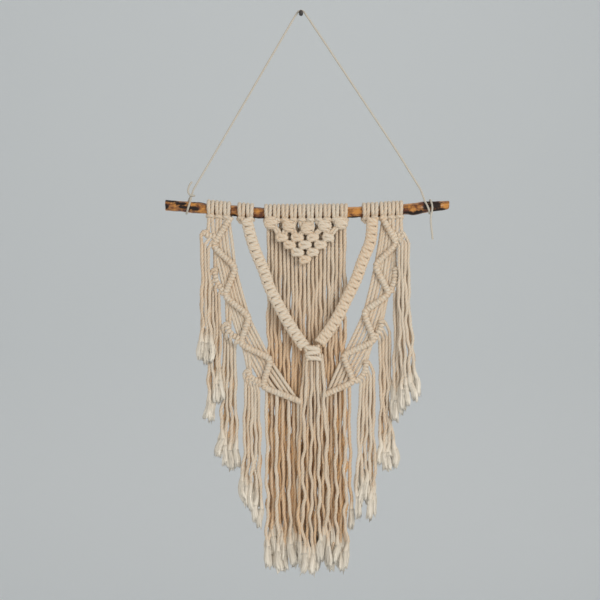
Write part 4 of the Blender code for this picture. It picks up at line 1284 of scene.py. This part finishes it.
class MACRAME_OT_tiers(bpy.types.Operator):
    """Hang the stepped side fringes."""

    bl_idname = "macrame.tiers"
    bl_label = "Side fringes"

    def execute(self, context):
        depths = (FRONT_FRINGE_Y, PANEL_Y, BACK_FRINGE_Y, PANEL_Y)
        for side, tiers, columns, turns in (("left", LEFT_TIERS, LEFT_COLUMNS, LEFT_TURNS),
                                            ("right", RIGHT_TIERS, RIGHT_COLUMNS, RIGHT_TURNS)):
            for i, (strands, column) in enumerate(zip(tiers, columns)):
                yarn = Cordage(context.scene.macrame_cord, seed=60 + 10 * (side == "right") + i)
                axis = smooth(at_depth(column_line(column, turns[2 * i + 1]), PANEL_Y), 1.0)
                outward = -1 if side == "left" else 1
                order = sorted(strands, key=lambda strand: -outward * strand.x_top)
                tops = []
                for k, strand in enumerate(order):
                    share = TIER_FIRST + TIER_SPAN * k / (len(order) - 1)
                    spot = axis[int((len(axis) - 1) * share)]
                    tops.append(self.hang_from_column(yarn, spot, strand, depths[i], outward, k == 0))
                # Extra cords behind the gaps, darkened with painted shade
                hang_back_row(yarn, order, tops, depths[i] + SIDE_BACK, SIDE_BACK_PAINTED_SHADE)
                tie_off(yarn, context, f"fringe_cords_{side}_{i + 1}", f"fringe_{side}_{i + 1}")
        return {"FINISHED"}

    @staticmethod
    def hang_from_column(yarn, spot, strand, y, outward, first):
        """One cord that leaves a column's outer edge and falls; the first arches over its top."""
        x, z = spot[0], spot[2]
        front = PANEL_Y - 2.5
        if first:
            lead = ((x - outward * 4.0, front, z + 1.0), (x - outward * 1.0, front - 1.0, z + 4.2),
                    (x + outward * 3.4, front - 1.0, z + 3.4), (x + outward * 6.4, front, z - 2.0))
        else:
            lead = ((x, PANEL_Y, z), (x + outward * 3.0, front, z - 1.2), (x + outward * 4.8, front, z - 5.0))
        top = z - TIER_DROP
        hang_cord(yarn, strand, top, y, [np.array(point) for point in lead])
        return top


class MACRAME_OT_long_fringes(bpy.types.Operator):
    """Hang the fringes of the middle: behind the bands, under their join and under the panels."""

    bl_idname = "macrame.long_fringes"
    bl_label = "Long fringes"

    def execute(self, context):
        for node, strands, turns in (("fringe_foot_left", LEFT_FOOT, LEFT_TURNS),
                                     ("fringe_foot_right", RIGHT_FOOT, RIGHT_TURNS)):
            yarn = Cordage(context.scene.macrame_cord, seed=80 + len(strands))
            low, high = sorted(turns[-2:])
            for i, strand in enumerate(strands):
                top = float(np.interp(strand.x_top, (low.x, high.x), (low.z, high.z)))
                # Every other cord hangs further back, with stronger painted shade
                back = i % 2
                hang_cord(yarn, strand, top, PANEL_Y + 5.0 * back, (), FOOT_BACK_PAINTED_SHADE if back else FOOT_PAINTED_SHADE)
            tie_off(yarn, context, node.replace("fringe", "fringe_cords"), node)
        yarn = Cordage(context.scene.macrame_cord, seed=90)
        for i, strand in enumerate(BAND_FRINGE):
            # Every other cord hangs further back, with stronger painted shade
            back = (i + 1) % 2
            hang_cord(yarn, strand, BAND_FRINGE_TOP, FRONT_FRINGE_Y + 0.6 + 3.0 * back, (),
                      FOOT_BACK_PAINTED_SHADE if back else FOOT_PAINTED_SHADE)
        tie_off(yarn, context, "fringe_cords_band", "fringe_band")
        yarn = Cordage(context.scene.macrame_cord, seed=91)
        low, high = CENTRE_FRINGE_X
        strands = []
        for i in range(CENTRE_FRINGE_COUNT):
            x = low + (high - low) * i / (CENTRE_FRINGE_COUNT - 1)
            rise = CENTRE_FRINGE_PEAK + CENTRE_FRINGE_SLOPE * abs(x - NET_CENTRE_X)
            top = min(rise, CENTRE_FRINGE_SHOULDER)
            end = CENTRE_FRINGE_ENDS[i % len(CENTRE_FRINGE_ENDS)]
            strand = Strand(x, x + yarn.chance.normal(0.0, 0.6), x + yarn.chance.normal(0.0, 1.5), end)
            strands.append(strand)
            lead = (np.array((x, CENTRE_FRINGE_Y + 1.0, CENTRE_FRINGE_HIDDEN)),
                    np.array((x, CENTRE_FRINGE_Y, top + 8.0)))
            # Painted shade on the centre fringe, stronger lower down where it hangs behind the other fringes
            hang_cord(yarn, strand, top - 4.0, CENTRE_FRINGE_Y, lead, CENTRE_PAINTED_SHADE)
        tops = [CENTRE_BACK_TOP] * len(strands)
        # Extra cords behind the centre fringe's gaps, darkened with painted shade
        hang_back_row(yarn, strands, tops, CENTRE_FRINGE_Y + CENTRE_BACK, CENTRE_BACK_PAINTED_SHADE)
        tie_off(yarn, context, "fringe_cords_centre", "fringe_centre")
        return {"FINISHED"}


class MACRAME_OT_stage(bpy.types.Operator):
    """Set the floor, the lights and the camera."""

    bl_idname = "macrame.stage"
    bl_label = "Stage"

    def execute(self, context):
        stage = context.scene.macrame_stage
        bpy.ops.object.select_all(action="DESELECT")
        bpy.ops.mesh.primitive_plane_add(size=FLOOR_SIZE, location=FLOOR_PLACE)
        floor = context.object
        floor.name = floor.data.name = "pale_floor"
        bpy.ops.object.transform_apply(location=True, rotation=True, scale=True)
        bpy.ops.object.mode_set(mode="EDIT")
        bpy.ops.mesh.select_mode(type="EDGE")
        bpy.ops.mesh.select_all(action="DESELECT")
        bpy.ops.object.mode_set(mode="OBJECT")
        for edge in floor.data.edges:
            edge.select = min(floor.data.vertices[v].co.y for v in edge.vertices) > FLOOR_PLACE[1]
        bpy.ops.object.mode_set(mode="EDIT")
        bpy.ops.mesh.extrude_region_move(TRANSFORM_OT_translate={"value": (0.0, 0.0, BACKDROP_HIGH)})
        bpy.ops.object.mode_set(mode="OBJECT")
        sweep = floor.modifiers.new("sweep", "BEVEL")
        sweep.width, sweep.segments = SWEEP, 12
        bpy.ops.object.modifier_apply(modifier=sweep.name)
        bpy.ops.object.shade_smooth()
        floor.data.materials.append(plain_floor("plain_pale_floor", tuple(stage.floor)))
        middle = tuple(np.array(CAD_BOX).mean(axis=0))
        self.light("window_light", stage.key, stage.lamp, 1.3, (1.35, -1.8, 0.2), middle)
        self.light("fill_light", stage.fill, stage.lamp, 2.0, (-1.2, -1.9, -1.1), (0.0, 0.0, -0.7))
        self.light("backdrop_light", stage.wash, stage.air, 3.0, (0.0, 0.9, 1.9), (0.0, 3.5, -0.6))
        world = bpy.data.worlds.new("soft_air")
        world.use_nodes = True
        background = world.node_tree.nodes["Background"]
        background.inputs["Color"].default_value = (*stage.air, 1.0)
        background.inputs["Strength"].default_value = stage.air_strength
        context.scene.world = world
        context.scene.view_settings.view_transform = "Standard"
        self.camera(context, stage)
        return {"FINISHED"}

    @staticmethod
    def light(name, power, colour, size, place, target):
        """A square area light aimed at a point."""
        data = bpy.data.lights.new(name, "AREA")
        data.energy = power
        data.color = tuple(colour)
        data.size = size
        lamp = bpy.data.objects.new(name, data)
        bpy.context.scene.collection.objects.link(lamp)
        lamp.location = place
        aim = type(lamp.location)(target) - lamp.location
        lamp.rotation_euler = aim.to_track_quat("-Z", "Y").to_euler()

    @staticmethod
    def camera(context, stage):
        """A level camera straight in front."""
        data = bpy.data.cameras.new("camera")
        data.lens = stage.lens
        data.sensor_width = 36.0
        camera = bpy.data.objects.new("camera", data)
        context.scene.collection.objects.link(camera)
        distance = stage.frame_width * stage.lens / data.sensor_width
        camera.location = (AIM.x * MM, (PANEL_Y - 1.0) * MM - distance, AIM.z * MM)
        camera.rotation_euler = (pi / 2, 0.0, 0.0)
        context.scene.camera = camera


class MACRAME_PT_panel(bpy.types.Panel):
    """Lists the pieces of the wall hanging."""

    bl_idname = "MACRAME_PT_panel"
    bl_label = "Macrame wall hanging"
    bl_space_type = "VIEW_3D"
    bl_region_type = "UI"
    bl_category = "Macrame"

    def draw(self, context):
        for operator in OPERATORS:
            self.layout.operator(operator.bl_idname)


OPERATORS = (
    MACRAME_OT_branch,
    MACRAME_OT_nail,
    MACRAME_OT_hanging_cord,
    MACRAME_OT_larks_heads,
    MACRAME_OT_berry_net,
    MACRAME_OT_bands,
    MACRAME_OT_zigzags,
    MACRAME_OT_tiers,
    MACRAME_OT_long_fringes,
    MACRAME_OT_stage,
)
GROUPS = {"macrame_cord": CordSettings, "macrame_wood": WoodSettings, "macrame_stage": StageSettings}


def register():
    """Make the settings, operators and panel known to Blender."""
    for item in (*GROUPS.values(), *OPERATORS, MACRAME_PT_panel):
        bpy.utils.register_class(item)
    for name, group in GROUPS.items():
        setattr(bpy.types.Scene, name, bpy.props.PointerProperty(type=group))


def unregister():
    """Take the settings, operators and panel away again."""
    for name in GROUPS:
        delattr(bpy.types.Scene, name)
    for item in reversed((*GROUPS.values(), *OPERATORS, MACRAME_PT_panel)):
        bpy.utils.unregister_class(item)


def main():
    """Build every piece."""
    register()
    for operator in OPERATORS:
        group, name = operator.bl_idname.split(".")
        getattr(getattr(bpy.ops, group), name)()


if __name__ == "__main__":
    main()
